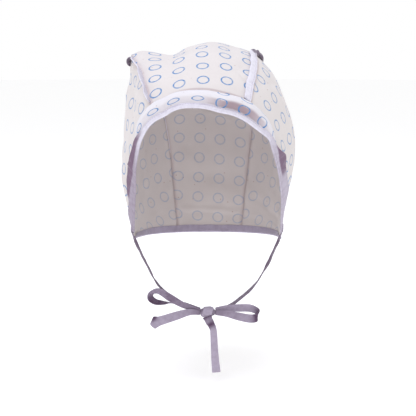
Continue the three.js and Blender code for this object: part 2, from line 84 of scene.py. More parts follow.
# Folds of the worn cloth: fan, length along the cloth from the middle line, spread of each, depth.
folds = (
    (101, -43, 24, 10.5, 3.8), (103, 4, 13, 20, -2.6), (96, -85, 16, 12, 7.3), (99, 62, 26, 12, 0.4),
    (84, 42, 2.6, 11, 1.6), (78, -185, 5, 55, 2.5), (104, -190, 8, 50, 3.0), (140, -180, 9, 45, 2.5),
    (80, 182, 5, 55, 2.5), (108, 186, 8, 50, 3.0), (144, 176, 9, 45, 2.5), (152, -4, 5, 42, 3.0),
    (166, 20, 5, 46, 2.6), (62, 124, 7, 36, 2.6), (62, -32, 6, 10, 2.6), (62, 24, 6, 12, 2.0),
    (62, 84, 6, 10, -2.4),
)
FAN_MM = 3.1  # cloth between two sections a degree apart, over the crown
# Sharper creases: fan and length along the cloth of the middle, turn from across, length, width, depth.
creases = (
    (78, 41, 138, 11, 2.0, 0.9), (77, 52, 4, 9, 1.6, 0.9), (96, -56, 80, 16, 4, 1.3),
    (94, -28, 96, 14, 5, 1.0), (98, 24, 84, 16, 5, 0.9), (90, 78, 64, 22, 4, 1.0),
    (84, -98, 108, 24, 5, 1.1), (76, 118, 60, 26, 4, 0.9), (112, 20, 30, 26, 5, 1.4),
    (124, -24, -24, 30, 6, 1.6), (136, 10, 12, 34, 5, 1.8), (118, 96, 110, 30, 6, 1.5),
    (120, -104, 70, 32, 6, 1.5), (150, 92, 100, 26, 5, 1.5), (152, -90, 84, 28, 5, 1.5),
    (174, -6, 4, 40, 4, 1.2),
)


def read(table, value):
    """All columns of a table at each value of its first one: a cubic through the rows, with the slope at
    a row taken from its two neighbours."""
    key = table[:, 0]
    value = np.clip(value, key[0], key[-1])
    row = np.clip(np.searchsorted(key, value, side="right") - 1, 0, len(key) - 2)
    before, after = np.maximum(row - 1, 0), np.minimum(row + 2, len(key) - 1)
    span = (key[row + 1] - key[row])[..., None]
    t = (value - key[row])[..., None] / span
    slope_a = (table[row + 1] - table[before]) / (key[row + 1] - key[before])[..., None] * span
    slope_b = (table[after] - table[row]) / (key[after] - key[row])[..., None] * span
    return ((2 * t**3 - 3 * t**2 + 1) * table[row] + (t**3 - 2 * t**2 + t) * slope_a
            + (3 * t**2 - 2 * t**3) * table[row + 1] + (t**3 - t**2) * slope_b)


def ease(value, low, high):
    """0 below low, 1 above high, and a smooth step between them."""
    t = np.clip((value - low) / (high - low), 0, 1)
    return t * t * (3 - 2 * t)


def stretch(value, start, full, fading, gone):
    """0 outside start and gone, 1 from full to fading, and smooth steps between."""
    return ease(value, start, full) * (1 - ease(value, fading, gone))


ROW_APART = 4000.0  # keeps the rows of one lookup clear of each other


def between(value, known, *columns):
    """Linear interpolation row by row: each row of value is looked up in the same row of known."""
    apart = ROW_APART * np.arange(len(known))[:, None]
    where, wanted = (known + apart).ravel(), (value + apart).ravel()
    return [np.interp(wanted, where, column.ravel()).reshape(value.shape) for column in columns]


ARCH_POINTS = 601


def arch(fan):
    """The plain sections at those fans: x and r of their points, length along them from the middle, table
    rows. x = half * sin(turn)^(2/top) and r = reach * cos(turn)^(2/side), a squared ellipse. Its half
    width draws in to the corner near its foot, and its top leans sideways by shift * (r/reach)^4."""
    turn = np.linspace(-np.pi / 2, np.pi / 2, ARCH_POINTS)
    row = dict(zip(SECTION, read(sections, fan).T[..., None]))
    rise = np.maximum(np.cos(turn), 0) ** (2 / row["side"])
    wide = np.sign(turn) * np.abs(np.sin(turn)) ** (2 / row["top"])
    corner = np.where(turn < 0, CORNER["left"], CORNER["right"])
    flare = np.where(turn < 0, FLARE["left"], FLARE["right"])
    x = wide * (corner + (row["half"] - corner) * ease(rise, 0, flare)) + row["shift"] * rise**4
    r = rise * row["reach"]
    along = np.concatenate([np.zeros((len(fan), 1)), np.hypot(np.diff(x), np.diff(r)).cumsum(axis=1)], axis=1)
    along -= along[:, [len(turn) // 2]]
    return x, r, along, row


def ripple(u, v, size, seed):
    """Soft random height from -1 to 1: random values on a square lattice with cells of that size, blended
    between its points. The lattice repeats after as many cells as it has each way."""
    cells = 64
    lattice = np.random.default_rng(seed).uniform(-1, 1, (cells, cells))
    i, j = np.floor(u / size).astype(int), np.floor(v / size).astype(int)
    a, b = ease(u / size - i, 0, 1), ease(v / size - j, 0, 1)
    corner = [[lattice[(i + k) % cells, (j + m) % cells] for m in (0, 1)] for k in (0, 1)]
    low = corner[0][0] * (1 - a) + corner[1][0] * a
    high = corner[0][1] * (1 - a) + corner[1][1] * a
    return low * (1 - b) + high * b


# Unevenness of the worn cloth: height, size of its cells, seed.
BILLOWS, DIMPLES, SEAM_PUCKERS = (0.9, 31, 5), (0.6, 12, 6), (0.3, 6, 7)
PUCKER_REACH = 7  # the puckers fade this far from a seam
TAUT = {"share": 0.7, "fans": 6}  # less uneven by that share at the face edge, fading over so many degrees
FLAT_CORNER = 30  # ridges, folds and unevenness fade out over this length before a lower corner


def cloth(fan, along, off=0.0):
    """Points off the outside of the worn cloth. fan has one value a row and along is (rows, columns): the
    plain section, lifted along its own outward direction by the seams' ridges, less the folds and
    creases."""
    x, r, known, row = arch(fan)
    slope_x, slope_r = np.gradient(x, axis=1), np.gradient(r, axis=1)
    length = np.hypot(slope_x, slope_r) + 1e-9
    x, r, out_x, out_r = between(along, known, x, r, -slope_r / length, slope_x / length)
    fan = fan[:, None]
    left, right = along + row["seam_left"], along - row["seam_right"]
    spread_left = np.where(left > 0, RIDGE["inner"], RIDGE["outer"])
    spread_right = np.where(right < 0, RIDGE["inner"], RIDGE["outer"])
    high = row["ridge_left"] * np.exp(-((left / spread_left) ** 2))
    high = high + row["ridge_right"] * np.exp(-((right / spread_right) ** 2))
    for at_fan, at, fan_spread, spread, depth in folds:
        high = high - depth * np.exp(-(((fan - at_fan) / fan_spread) ** 2) - ((along - at) / spread) ** 2)
    for at_fan, at, turn, run, width, depth in creases:
        p, q = along - at, FAN_MM * (fan - at_fan)
        c, s = np.cos(radians(turn)), np.sin(radians(turn))
        high = high - depth * np.exp(-(((c * p + s * q) / run) ** 2) - ((c * q - s * p) / width) ** 2)
    near_left, near_right = np.exp(-((left / PUCKER_REACH) ** 2)), np.exp(-((right / PUCKER_REACH) ** 2))
    calm = 1 - TAUT["share"] * np.exp(-(((fan - FACE) / TAUT["fans"]) ** 2))
    billows, dimples = (tall * ripple(along, FAN_MM * fan, size, seed)
                        for tall, size, seed in (BILLOWS, DIMPLES))
    high = high + calm * (billows + dimples)
    tall, size, seed = SEAM_PUCKERS
    # The puckers run across the seam, so their cells are longer that way.
    high = high + tall * (near_left + near_right) * ripple(along * 0.4, FAN_MM * fan, size, seed)
    to_corner = np.minimum(along - known[:, :1], known[:, -1:] - along)
    high = high * ease(to_corner, 0, FLAT_CORNER) + off
    x, r, fan = x + out_x * high, r + out_r * high, np.radians(fan)
    return np.stack([x, -CORNER["forward"] - r * np.cos(fan), -CORNER["down"] + r * np.sin(fan)], axis=-1)


def unit(vectors):
    """Vectors of length one."""
    return vectors / np.maximum(np.linalg.norm(vectors, axis=-1, keepdims=True), 1e-9)


def place(fan, along):
    """Points on the cloth with its directions there: back from the face, across to +X, and out. The first
    two are differences over a small step of fan in degrees, and of length in millimetres."""
    turn, step = 0.4, 0.8
    back = cloth(fan + turn, along) - cloth(fan - turn, along)
    across = unit(cloth(fan, along + step) - cloth(fan, along - step))
    out = unit(np.cross(across, back))
    return cloth(fan, along), unit(np.cross(out, across)), across, out


def linear(code):
    """An sRGB hex colour as linear red, green, blue and alpha."""
    rgb = np.array([int(code[i:i + 2], 16) for i in (1, 3, 5)]) / 255
    return (*np.where(rgb <= 0.04045, rgb / 12.92, ((rgb + 0.055) / 1.055) ** 2.4).tolist(), 1.0)


def add(tree, kind, settings=None, inputs=None):
    """Adds a node to a material with its settings, and fills its inputs with values or other nodes'
    outputs."""
    made = tree.nodes.new("ShaderNode" + kind)
    for name, value in (settings or {}).items():
        setattr(made, name, value)
    for name, value in (inputs or {}).items():
        if isinstance(value, bpy.types.NodeSocket):
            tree.links.new(value, made.inputs[name])
        else:
            made.inputs[name].default_value = value
    return made


def new_material(name, roughness, sheen, sheen_roughness):
    """A material with its node tree and its shader, a Principled BSDF with a cloth's sheen."""
    material = bpy.data.materials.new(name)
    material.use_nodes = True
    shader = material.node_tree.nodes["Principled BSDF"]
    shader.inputs["Roughness"].default_value = roughness
    shader.inputs["Sheen Weight"].default_value = sheen
    shader.inputs["Sheen Roughness"].default_value = sheen_roughness
    shader.inputs["Specular IOR Level"].default_value = 0.25
    return material, material.node_tree, shader


def weave_bump(tree, shader, threads, spacing, cut, fibre, relief):
    """Roughens a cloth as sin(x) * sin(y) across its threads, that many millimetres apart, and a noise of its
    fibres: scale, detail and share. relief is the bump's strength and its height in millimetres."""
    weave = add(tree, "VectorMath", {"operation": "SCALE"}, {0: threads, "Scale": 2 * np.pi / (spacing * MM)})
    weave = add(tree, "VectorMath", {"operation": "SINE"}, {0: weave.outputs[0]})
    weave = add(tree, "SeparateXYZ", None, {0: weave.outputs[0]})
    weave = add(tree, "Math", {"operation": "MULTIPLY"}, {0: weave.outputs[0], 1: weave.outputs[1]})
    scale, detail, share = fibre
    fuzz = add(tree, "TexNoise", None, {"Vector": cut, "Scale": scale, "Detail": detail})
    height = add(tree, "Math", {"operation": "MULTIPLY_ADD"}, {
        0: fuzz.outputs[0], 1: share, 2: weave.outputs[0]})
    strength, high = relief
    bump = add(tree, "Bump", None, {"Height": height.outputs[0], "Strength": strength, "Distance": high * MM})
    tree.links.new(bump.outputs[0], shader.inputs["Normal"])


# The printed rings: distance between their middles, radius, breadth of the line.
RING_PITCH, RING_RADIUS, RING_LINE = 22.5, 5.4, 1.35
INK, SPECK = "#5288c0", "#a2756a"


def printed_cotton(name, ring_at, ring_turn, ink, ground=("#e6e0de", "#ded7d5"), shade="#b8a3a6"):
    """Plain-woven cotton printed with small rings. The rings sit on a square lattice of the piece's flat
    cut, one of them at ring_at; ink is how strongly they print."""
    pitch, ring, line = RING_PITCH * MM, RING_RADIUS * MM, RING_LINE * MM
    material, tree, shader = new_material(name, 0.92, 0.25, 0.45)
    cut = add(tree, "UVMap", {"uv_map": "cut"}).outputs[0]
    c, s = np.cos(radians(ring_turn)), np.sin(radians(ring_turn))
    u, v = ring_at[0] * MM / pitch, ring_at[1] * MM / pitch
    cell = add(tree, "Mapping", None, {
        "Vector": cut, "Scale": (1 / pitch, 1 / pitch, 0), "Rotation": (0, 0, -radians(ring_turn)),
        "Location": (0.5 - (c * u + s * v), 0.5 - (c * v - s * u), 0)}).outputs[0]
    cell = add(tree, "VectorMath", {"operation": "FRACTION"}, {0: cell}).outputs[0]
    cell = add(tree, "VectorMath", {"operation": "SUBTRACT"}, {0: cell, 1: (0.5, 0.5, 0)}).outputs[0]
    far = add(tree, "VectorMath", {"operation": "LENGTH"}, {0: cell}).outputs["Value"]
    far = add(tree, "Math", {"operation": "SUBTRACT"}, {0: far, 1: ring / pitch}).outputs[0]
    far = add(tree, "Math", {"operation": "ABSOLUTE"}, {0: far}).outputs[0]
    print_mask = add(tree, "MapRange", {"interpolation_type": "SMOOTHSTEP"}, {
        "Value": far, "From Min": 0.3 * line / pitch, "From Max": 0.75 * line / pitch,
        "To Min": ink, "To Max": 0.0})
    # Ink takes unevenly on the threads.
    patchy = add(tree, "TexNoise", None, {"Vector": cut, "Scale": 330.0, "Detail": 2.0})
    patchy = add(tree, "MapRange", None, {"Value": patchy.outputs[0], "From Min": 0.3, "From Max": 0.6,
                                          "To Min": 0.55, "To Max": 1.0})
    print_mask = add(tree, "Math", {"operation": "MULTIPLY"}, {
        0: print_mask.outputs[0], 1: patchy.outputs[0]})
    # Unbleached cotton has warm and cool patches some centimetres wide, and seed specks half a millimetre
    # wide.
    patches = add(tree, "TexNoise", None, {"Vector": cut, "Scale": 28.0, "Detail": 3.0, "Roughness": 0.6})
    ground_mix = add(tree, "Mix", {"data_type": "RGBA"}, {
        "Factor": patches.outputs[0], "A": linear(ground[0]), "B": linear(ground[1])})
    specks = add(tree, "TexVoronoi", None, {"Vector": cut, "Scale": 260.0})
    rare = add(tree, "SeparateXYZ", None, {0: specks.outputs["Color"]})
    rare = add(tree, "Math", {"operation": "GREATER_THAN"}, {0: rare.outputs[0], 1: 0.93})
    small = add(tree, "MapRange", None, {
        "Value": specks.outputs["Distance"], "From Min": 0.1, "From Max": 0.22,
        "To Min": 0.55, "To Max": 0.0})
    speck_mask = add(tree, "Math", {"operation": "MULTIPLY"}, {0: rare.outputs[0], 1: small.outputs[0]})
    colour = add(tree, "Mix", {"data_type": "RGBA"}, {
        "Factor": speck_mask.outputs[0], "A": ground_mix.outputs["Result"], "B": linear(SPECK)})
    # Painted shade: the cloth is darkened towards its shade colour where it turns into a seam or away on a
    # slope;
    # the piece's attribute says where.
    turned = add(tree, "Attribute", {"attribute_name": "turned"})
    colour = add(tree, "Mix", {"data_type": "RGBA"}, {
        "Factor": turned.outputs["Fac"], "A": colour.outputs["Result"], "B": linear(shade)})
    colour = add(tree, "Mix", {"data_type": "RGBA"}, {
        "Factor": print_mask.outputs[0], "A": colour.outputs["Result"], "B": linear(INK)})
    tree.links.new(colour.outputs["Result"], shader.inputs["Base Color"])
    # Warp and weft half a millimetre apart, drawn three times coarser so that they show, with soft slubs.
    weave_bump(tree, shader, cut, 1.5, cut, (420.0, 3.0, 1.6), (0.25, 0.25))
    return material


def make_piece(name, points, cut, material, around=False, **marks):
    """A mesh from a grid of points (rows, columns, 3) in millimetres. cut is the flat place of each, the
    UV map, and marks are further values from 0 to 1 for each point. Where the columns run all the way
    around a section, they are joined, the two ends are closed, and the faces are turned to point
    outwards."""
    rows, columns = points.shape[:2]
    number = np.arange(rows * columns).reshape(rows, columns)
    if around:
        number = np.hstack([number, number[:, :1]])
    quads = (number[:-1, :-1], number[:-1, 1:], number[1:, 1:], number[1:, :-1])
    faces = np.stack(quads, axis=-1).reshape(-1, 4)
    flat = points.reshape(-1, 3) * MM
    ends = []
    if around:
        a, b, c, d = (flat[faces[:, k]] - flat.mean(axis=0) for k in range(4))
        inside_out = (np.cross(b - a, c - a) * a).sum() + (np.cross(c - a, d - a) * a).sum() < 0
        faces = faces[:, ::-1] if inside_out else faces
        first, last = number[0, :-1].tolist(), number[-1, :-1].tolist()
        ends = [first, last[::-1]] if inside_out else [first[::-1], last]
    mesh = bpy.data.meshes.new(name)
    mesh.from_pydata(flat, [], faces.tolist() + ends)
    mesh.polygons.foreach_set("use_smooth", np.ones(len(mesh.polygons), bool))
    corner = np.empty(len(mesh.loops), int)
    mesh.loops.foreach_get("vertex_index", corner)
    mesh.uv_layers.new(name="cut").data.foreach_set("uv", (cut.reshape(-1, 2) * MM)[corner].ravel())
    for mark, values in marks.items():
        spread = np.broadcast_to(values, points.shape[:2]).astype(np.float32)
        mesh.attributes.new(mark, "FLOAT", "POINT").data.foreach_set("value", spread.ravel())
    mesh.materials.append(material)
    piece = bpy.data.objects.new(name, mesh)
    bpy.context.scene.collection.objects.link(piece)
    return piece


def wall(piece, thickness, inside=None):
    """Gives a sheet its thickness, inwards, and its wrong side a material of its own."""
    solidify = piece.modifiers.new("thickness", "SOLIDIFY")
    solidify.thickness, solidify.offset = thickness * MM, -1
    if inside:
        piece.data.materials.append(inside)
        solidify.material_offset = 1


def settle(piece, node):
    """The piece stands for a CAD node, whose part it hides, and goes with the cap's body."""
    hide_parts(node)
    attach(piece, "root")


COTTON = 0.6  # thickness of the printed cotton
SEAM_GAP = 0.15  # the panels end this far from the middle of a seam
# The cloth is darkened along each seam with painted shade, where it turns into the crevice.
LIP = {"high": 1.5, "spread": 1.4, "painted_seam_shade": 0.5, "painted_seam_shade_spread": 2.0}  # the cloth turns outwards into a seam


def seam_lip(distance):
    """How far the cloth rises into a seam, at a distance from it, and how much painted shade darkens it
    there:
    each a bell of that spread."""
    return (LIP["high"] * np.exp(-((distance / LIP["spread"]) ** 2)),
            LIP["painted_seam_shade"] * np.exp(-((distance / LIP["painted_seam_shade_spread"]) ** 2)))


# A panel's rows lie closer together near the face, where the sections turn fastest.
fans = FACE + (NAPE - FACE) * np.linspace(0, 1, 193) ** 1.15
_, _, _, form = arch(fans)
share = np.linspace(0, 1, 121)
along = -form["seam_left"] + SEAM_GAP + (form["seam_left"] + form["seam_right"] - 2 * SEAM_GAP) * share
rise_left, turned_left = seam_lip(along + form["seam_left"])
rise_right, turned_right = seam_lip(form["seam_right"] - along)
middle = cloth(fans, np.zeros((len(fans), 1)))[:, 0]
path = np.concatenate([[0], np.linalg.norm(np.diff(middle, axis=0), axis=1).cumsum()])
# Shade beside the standing seam over the brow, and along the seam that holds the band's top edge.
FIN_SHADE = {"dark": 0.6, "off": 1.4, "spread": 1.2, "gone": 84, "whole": 75}
BAND_SHADE = {"dark": 0.9, "at": 21.0, "spread": 1.1, "middle": 16, "reach": 46, "fade": 25}
beside = (along + form["seam_left"] - FIN_SHADE["off"]) / FIN_SHADE["spread"]
near_face = ease(fans, FIN_SHADE["gone"], FIN_SHADE["whole"])[:, None]
fin_shadow = FIN_SHADE["dark"] * np.exp(-(beside**2)) * near_face
above = (path[:, None] - BAND_SHADE["at"]) / BAND_SHADE["spread"]
ends = ease(BAND_SHADE["reach"] - np.abs(along - BAND_SHADE["middle"]), 0, BAND_SHADE["fade"])
band_shadow = BAND_SHADE["dark"] * np.exp(-(above**2)) * ends


OVERSHOOT = 1.5  # each round moves a point this many times as far as its neighbours ask, to settle sooner
COARSE_ROUNDS, FINE_ROUNDS = 1200, 60


def flat_cut(points, guess, pin):
    """The flat cut of a worn sheet. The grid's points slide on a plane, from a first guess, until the
    distances between neighbours, along, across and on both diagonals, are as near as they can be to those
    of the worn cloth: first every eighth point, then all of them. The result is turned and moved so that
    the pinned point keeps the place, and the row through it the direction, that the guess gave them."""
    def relax(worn, flat, rounds):
        """Each round moves a point by OVERSHOOT times the mean, over its neighbours, of half the excess of
        their distance."""
        low, high, whole = slice(None, -1), slice(1, None), slice(None)
        pairs = [((low, whole), (high, whole)), ((whole, low), (whole, high)),
                 ((low, low), (high, high)), ((low, high), (high, low))]
        known = [np.linalg.norm(worn[b] - worn[a], axis=-1) for a, b in pairs]
        shares = np.zeros(flat.shape[:2])
        for a, b in pairs:
            shares[a] += 1
            shares[b] += 1
        for _ in range(rounds):
            move = np.zeros_like(flat)
            for (a, b), length in zip(pairs, known):
                gap = flat[b] - flat[a]
                fix = gap * (0.5 - 0.5 * length / np.maximum(np.linalg.norm(gap, axis=-1), 1e-6))[..., None]
                move[a] += fix
                move[b] -= fix
            flat = flat + OVERSHOOT * move / shares[..., None]
        return flat

    coarse = relax(points[::8, ::8], guess[::8, ::8], COARSE_ROUNDS)
    rows, columns = (np.arange(n) for n in guess.shape[:2])
    down = [[np.interp(rows, rows[::8], coarse[:, j, k]) for j in range(coarse.shape[1])] for k in (0, 1)]
    down = np.stack(down)
    flat = [[np.interp(columns, columns[::8], down[k, :, i]) for i in rows] for k in (0, 1)]
    flat = relax(points, np.stack(flat, axis=-1), FINE_ROUNDS)
    i, j = pin
    now, then = (part[i, j + 3] - part[i, j - 3] for part in (flat, guess))
    turn = np.arctan2(then[1], then[0]) - np.arctan2(now[1], now[0])
    c, s = np.cos(turn), np.sin(turn)
    return (flat - flat[i, j]) @ np.array([[c, s], [-s, c]]) + guess[i, j]


points = cloth(fans, along)
guess = np.stack([along, np.broadcast_to(path[:, None], along.shape)], axis=-1)
PINNED_AT = 34  # length from the face edge, on the middle line, of the point that the flat cut is pinned by
front_row = int(np.abs(path - PINNED_AT).argmin())
centre_cut = flat_cut(points, guess, (front_row, int(np.abs(along[front_row]).argmin())))
# On the head the cloth has slipped a little on its bias, and over the crown it is stretched across.
RING_AT, SLIP, STRETCH = np.array((3.6, 34.4)), -0.085, 0.94
RING_TURN = 8  # degrees between the rows of rings and the strip's middle line
slipped = (centre_cut - RING_AT) @ np.array([[STRETCH, 0], [SLIP, 1]])
centre_cut = RING_AT + slipped
wrong_side = printed_cotton("cotton_wrong_side", RING_AT, RING_TURN, 0.35, ("#dcd5d3", "#d3cbc9"))
cotton = printed_cotton("printed_cotton_centre", RING_AT, RING_TURN, 1.0)
points = cloth(fans, along, rise_left + rise_right)
centre_panel = make_piece("centre_panel_cloth", points, centre_cut, cotton,
                          turned=np.max([turned_left, turned_right, band_shadow, fin_shadow], axis=0))
wall(centre_panel, COTTON, wrong_side)
settle(centre_panel, "centre_panel")


def flat_area(points):
    """Area in square metres of a grid of points in millimetres."""
    across, down = np.diff(points, axis=1)[:-1], np.diff(points, axis=0)[:, :-1]
    return float(np.linalg.norm(np.cross(across, down), axis=-1).sum()) * MM * MM


centre_area = flat_area(cloth(fans, along))

# -----------------------------------------------------------------------------
# Side panels. Two curved pieces of the same printed cotton that cover the ears and run round to the nape.
# They narrow to the lower corners, where the tape gathers them.

# A point midway between four rings on each flat cut, and the turn of the rows of rings in degrees.
PRINT = {"left": ((-15, 129.5), 2), "right": ((-26, 136.5), 9)}
PANEL_PIN = (30, 84)  # row and column of the point that a flat cut is pinned by, half way up the panel
for side, sign in (("left", -1), ("right", 1)):
    _, _, known, form = arch(fans)
    seam = sign * (form[f"seam_{side}"] + SEAM_GAP)
    end = known[:, [0]] + CORNER_STOP if sign < 0 else known[:, [-1]] - CORNER_STOP
    whole = known[:, [0]] if sign < 0 else known[:, [-1]]
    share = np.linspace(0, 1, 169)
    along = end + (seam - end) * share if sign < 0 else seam + (end - seam) * share
    rise, turned = seam_lip(np.abs(along) - np.abs(seam))
    # The flat cut is a fan about the corner: distance from the corner and the section's own angle.
    distance, angle = np.abs(whole - along), np.radians(fans)[:, None]
    cut = np.stack([-distance * np.cos(angle), distance * np.sin(angle)], axis=-1)
    cut = flat_cut(cloth(fans, along), cut, PANEL_PIN)
    at, turn = PRINT[side]
    half_cell = RING_PITCH / 2
    c, s = np.cos(radians(turn)), np.sin(radians(turn))
    at = (at[0] + half_cell * (c - s), at[1] + half_cell * (s + c))
    points = cloth(fans, along, rise)
    piece = make_piece(f"side_panel_{side}_cloth", points, cut,
                       printed_cotton(f"printed_cotton_{side}", at, turn, 0.85), turned=turned)
    wall(piece, COTTON, wrong_side)
    settle(piece, f"side_panel_{side}")

# -----------------------------------------------------------------------------
# Front band. A cuff of the printed cotton turned up along the face opening from temple to temple. Its top
# edge is sewn down and the cloth above the tape rolls forward, so the band is bright on its roll and
# shaded below it; painted light on its ground and painted shade on its slope add to both.
BAND = {"left": -104, "right": 104, "width": 19, "end_width": 9, "taper": 34, "flat": 8, "full": 59}
EASE = 0.25  # clearance of what lies on the cloth
CUFF = 0.6  # thickness of the cuff
ROLL = {"high": 5.0, "more": 3.4, "at": 50, "spread": 26}  # it is highest over the wearer's left temple
ROLL_WAVE = {"share": 0.10, "size": 26}  # how much of its height comes and goes along it
PUCKER = {"high": 0.35, "size": 7, "from": 6, "to": 12}  # fine puckers past the roll's first millimetres
# Height of the cuff above the cloth, as a share of the roll, across its width from the edge to the seam.
roll_profile = np.array([
    (0.00, 0.00), (0.19, 0.00), (0.25, 0.06), (0.34, 0.40), (0.43, 0.76), (0.51, 0.95), (0.59, 1.00),
    (0.72, 0.95), (0.84, 0.74), (0.93, 0.42), (0.97, 0.20), (1.00, -0.10),
])


# Points and directions of the whole cloth at every half degree of fan and every millimetre along.
LOOK_STEP = 0.5
LOOK_FAN, LOOK_ALONG = np.arange(FACE, NAPE + 0.1, LOOK_STEP), np.arange(-236, 236.5, 1.0)
look_grid = np.broadcast_to(LOOK_ALONG, (len(LOOK_FAN), len(LOOK_ALONG)))
looked_up = np.concatenate(place(LOOK_FAN, look_grid), axis=-1)


def over(fan, along):
    """Points on the cloth and the directions there, for grids of fans and lengths: back, across and out.
    They are blended between the nearest four of a fine grid of known points."""
    i = np.clip((fan - LOOK_FAN[0]) / LOOK_STEP, 0, len(LOOK_FAN) - 1.001)
    j = np.clip(along - LOOK_ALONG[0], 0, len(LOOK_ALONG) - 1.001)
    a, b = i.astype(int), j.astype(int)
    s, t = (i - a)[..., None], (j - b)[..., None]
    mixed = ((1 - s) * ((1 - t) * looked_up[a, b] + t * looked_up[a, b + 1])
             + s * ((1 - t) * looked_up[a + 1, b] + t * looked_up[a + 1, b + 1]))
    point, back, across, out = np.split(mixed, 4, axis=-1)
    return point, unit(back), unit(across), unit(out)


def away(fan, along, distance, into):
    """Fans of the points that lie a distance over the cloth from the points at a fan. along has one value
    a row, distance is (rows, columns), and into is the way, 1 back from the face or -1 up from the
    nape."""
    farthest, steps = 30, 121  # degrees of fan, stations
    track = np.broadcast_to(fan + into * np.linspace(0, farthest, steps), (len(along), steps))
    points = over(track, np.broadcast_to(along[:, None], track.shape))[0]
    gone = np.linalg.norm(np.diff(points, axis=1), axis=-1).cumsum(axis=1)
    gone = np.hstack([np.zeros((len(along), 1)), gone])
    return between(distance, gone, track)[0]


along = np.linspace(BAND["left"], BAND["right"], 260)
inside = np.minimum(along - BAND["left"], BAND["right"] - along)
width = BAND["end_width"] + (BAND["width"] - BAND["end_width"]) * ease(inside, 0, BAND["taper"])
full = ease(inside, BAND["flat"], BAND["full"])
share = np.linspace(0.02, 1, 34)
distance = width[:, None] * share
grid_along = np.broadcast_to(along[:, None], distance.shape)
point, _, _, out = over(away(FACE, along, distance, 1), grid_along)
roll = ROLL["high"] + ROLL["more"] * np.exp(-(((along[:, None] - ROLL["at"]) / ROLL["spread"]) ** 2))
wave = ROLL_WAVE["share"] * ripple(along[:, None], 0 * distance, ROLL_WAVE["size"], 3)
roll = roll * (1 + wave) * read(roll_profile, share)[:, 1]
pucker = PUCKER["high"] * ripple(grid_along, distance, PUCKER["size"], 9)
pucker = pucker * ease(distance, PUCKER["from"], PUCKER["to"])
height = EASE + CUFF + full[:, None] * (roll + pucker)
points = point + height[..., None] * out
down = np.hstack([distance[:, :1], np.linalg.norm(np.diff(points, axis=1), axis=-1)]).cumsum(axis=1)
# The cuff is gathered under its roll: over the brow along its row of rings, and farther up towards the
# wearer's left temple. The gathers take up so many millimetres of cloth within a stretch of that reach
# either way.
GATHER = {"taken": 10, "brow": 8.6, "temple": 15.5, "reach": 4.5, "moves_from": 8, "moves_to": 18}
towards_temple = ease(grid_along, GATHER["moves_from"], GATHER["moves_to"])
gather_at = GATHER["brow"] + (GATHER["temple"] - GATHER["brow"]) * towards_temple
gathered = ease(down, gather_at - GATHER["reach"], gather_at + GATHER["reach"])
gathered = GATHER["taken"] * gathered - GATHER["taken"] / 2 * (1 - towards_temple)
cut = np.stack([grid_along, down + gathered], axis=-1)
# Painted shade on the slope below the roll, most of all over the wearer's left brow, and along its top seam.
BAND_PAINTED_SHADE = {"slope": 0.15, "brow": 0.8, "seam": 0.5, "spread": 0.05}
PAINTED_SHADE_SLOPE, PAINTED_SHADE_BROW = (0.20, 0.28, 0.42, 0.54), (0, 34, 70, 86)  # shares of the width, lengths along it
slope, brow = stretch(share, *PAINTED_SHADE_SLOPE), stretch(grid_along, *PAINTED_SHADE_BROW)
turned = full[:, None] * slope * (BAND_PAINTED_SHADE["slope"] + BAND_PAINTED_SHADE["brow"] * brow)
turned = np.maximum(turned, BAND_PAINTED_SHADE["seam"] * np.exp(-(((share - 1.0) / BAND_PAINTED_SHADE["spread"]) ** 2)))
# The band's ground is paler and cooler than the panels' same cotton, painted light for its bright roll; its
# shade colour is darker, for the painted shade below the roll.
cotton = printed_cotton("printed_cotton_band", (2.0, 8.6), 0, 1.0, ("#ebe8ed", "#e2dfe5"), "#9f8a92")
front_band = make_piece("front_band_cloth", points.transpose(1, 0, 2), cut.transpose(1, 0, 2), cotton,
                        turned=turned.T)
wall(front_band, CUFF)
settle(front_band, "front_band")

# -----------------------------------------------------------------------------
# Front edge binding. Lavender bias tape folded over the edge of the face opening, from one lower corner
# over the forehead to the other, and sewn through near its outer edge. Over the band it lies on the
# turned-up cuff.
TAPE = 0.55  # thickness of one layer of the folded tape
BIAS = 45  # degrees between its threads and its length
TAPE_ROUND = 2.4 * 11.5  # about once round the folded tape's section
TAPE_WAVE = {"high": 0.16, "size": 9}
FLAP_WAVE = {"share": 0.3, "size": 12}  # of the height that the outer leg stands off
FACE_TAPE = {"outer": 3.8, "outer_side": 10, "inner": 6, "side_from": 98, "side_to": 116}
FACE_STOP, NECK_STOP = 4.5, 0.5  # each tape ends this far before the cloth does, the first one under the tie


def bias_tape(name, lit, dark):
    """Plain-woven cotton tape cut on the bias. The attribute shade is painted shade: it runs from the lit
    colour to the dark one on the tape's underside and on the stretches that turn away from the light."""
    material, tree, shader = new_material(name, 0.8, 0.35, 0.4)
    cut = add(tree, "UVMap", {"uv_map": "cut"}).outputs[0]
    shade = add(tree, "Attribute", {"attribute_name": "shade"})
    uneven = add(tree, "TexNoise", None, {"Vector": cut, "Scale": 210.0, "Detail": 3.0, "Roughness": 0.6})
    factor = add(tree, "MapRange", None, {"Value": uneven.outputs[0], "From Min": 0.3, "From Max": 0.7,
                                          "To Min": -0.10, "To Max": 0.10})
    factor = add(tree, "Math", {"operation": "ADD", "use_clamp": True}, {
        0: factor.outputs[0], 1: shade.outputs["Fac"]})
    colour = add(tree, "Mix", {"data_type": "RGBA"}, {
        "Factor": factor.outputs[0], "A": linear(lit), "B": linear(dark)})
    tree.links.new(colour.outputs["Result"], shader.inputs["Base Color"])
    # The threads run slantwise across a tape cut on the bias; they are drawn twice as coarse as they are.
    threads = add(tree, "Mapping", None, {"Vector": cut, "Rotation": (0, 0, radians(BIAS))}).outputs[0]
    weave_bump(tree, shader, threads, 0.9, cut, (900.0, 2.0, 1.4), (0.3, 0.2))
    return material


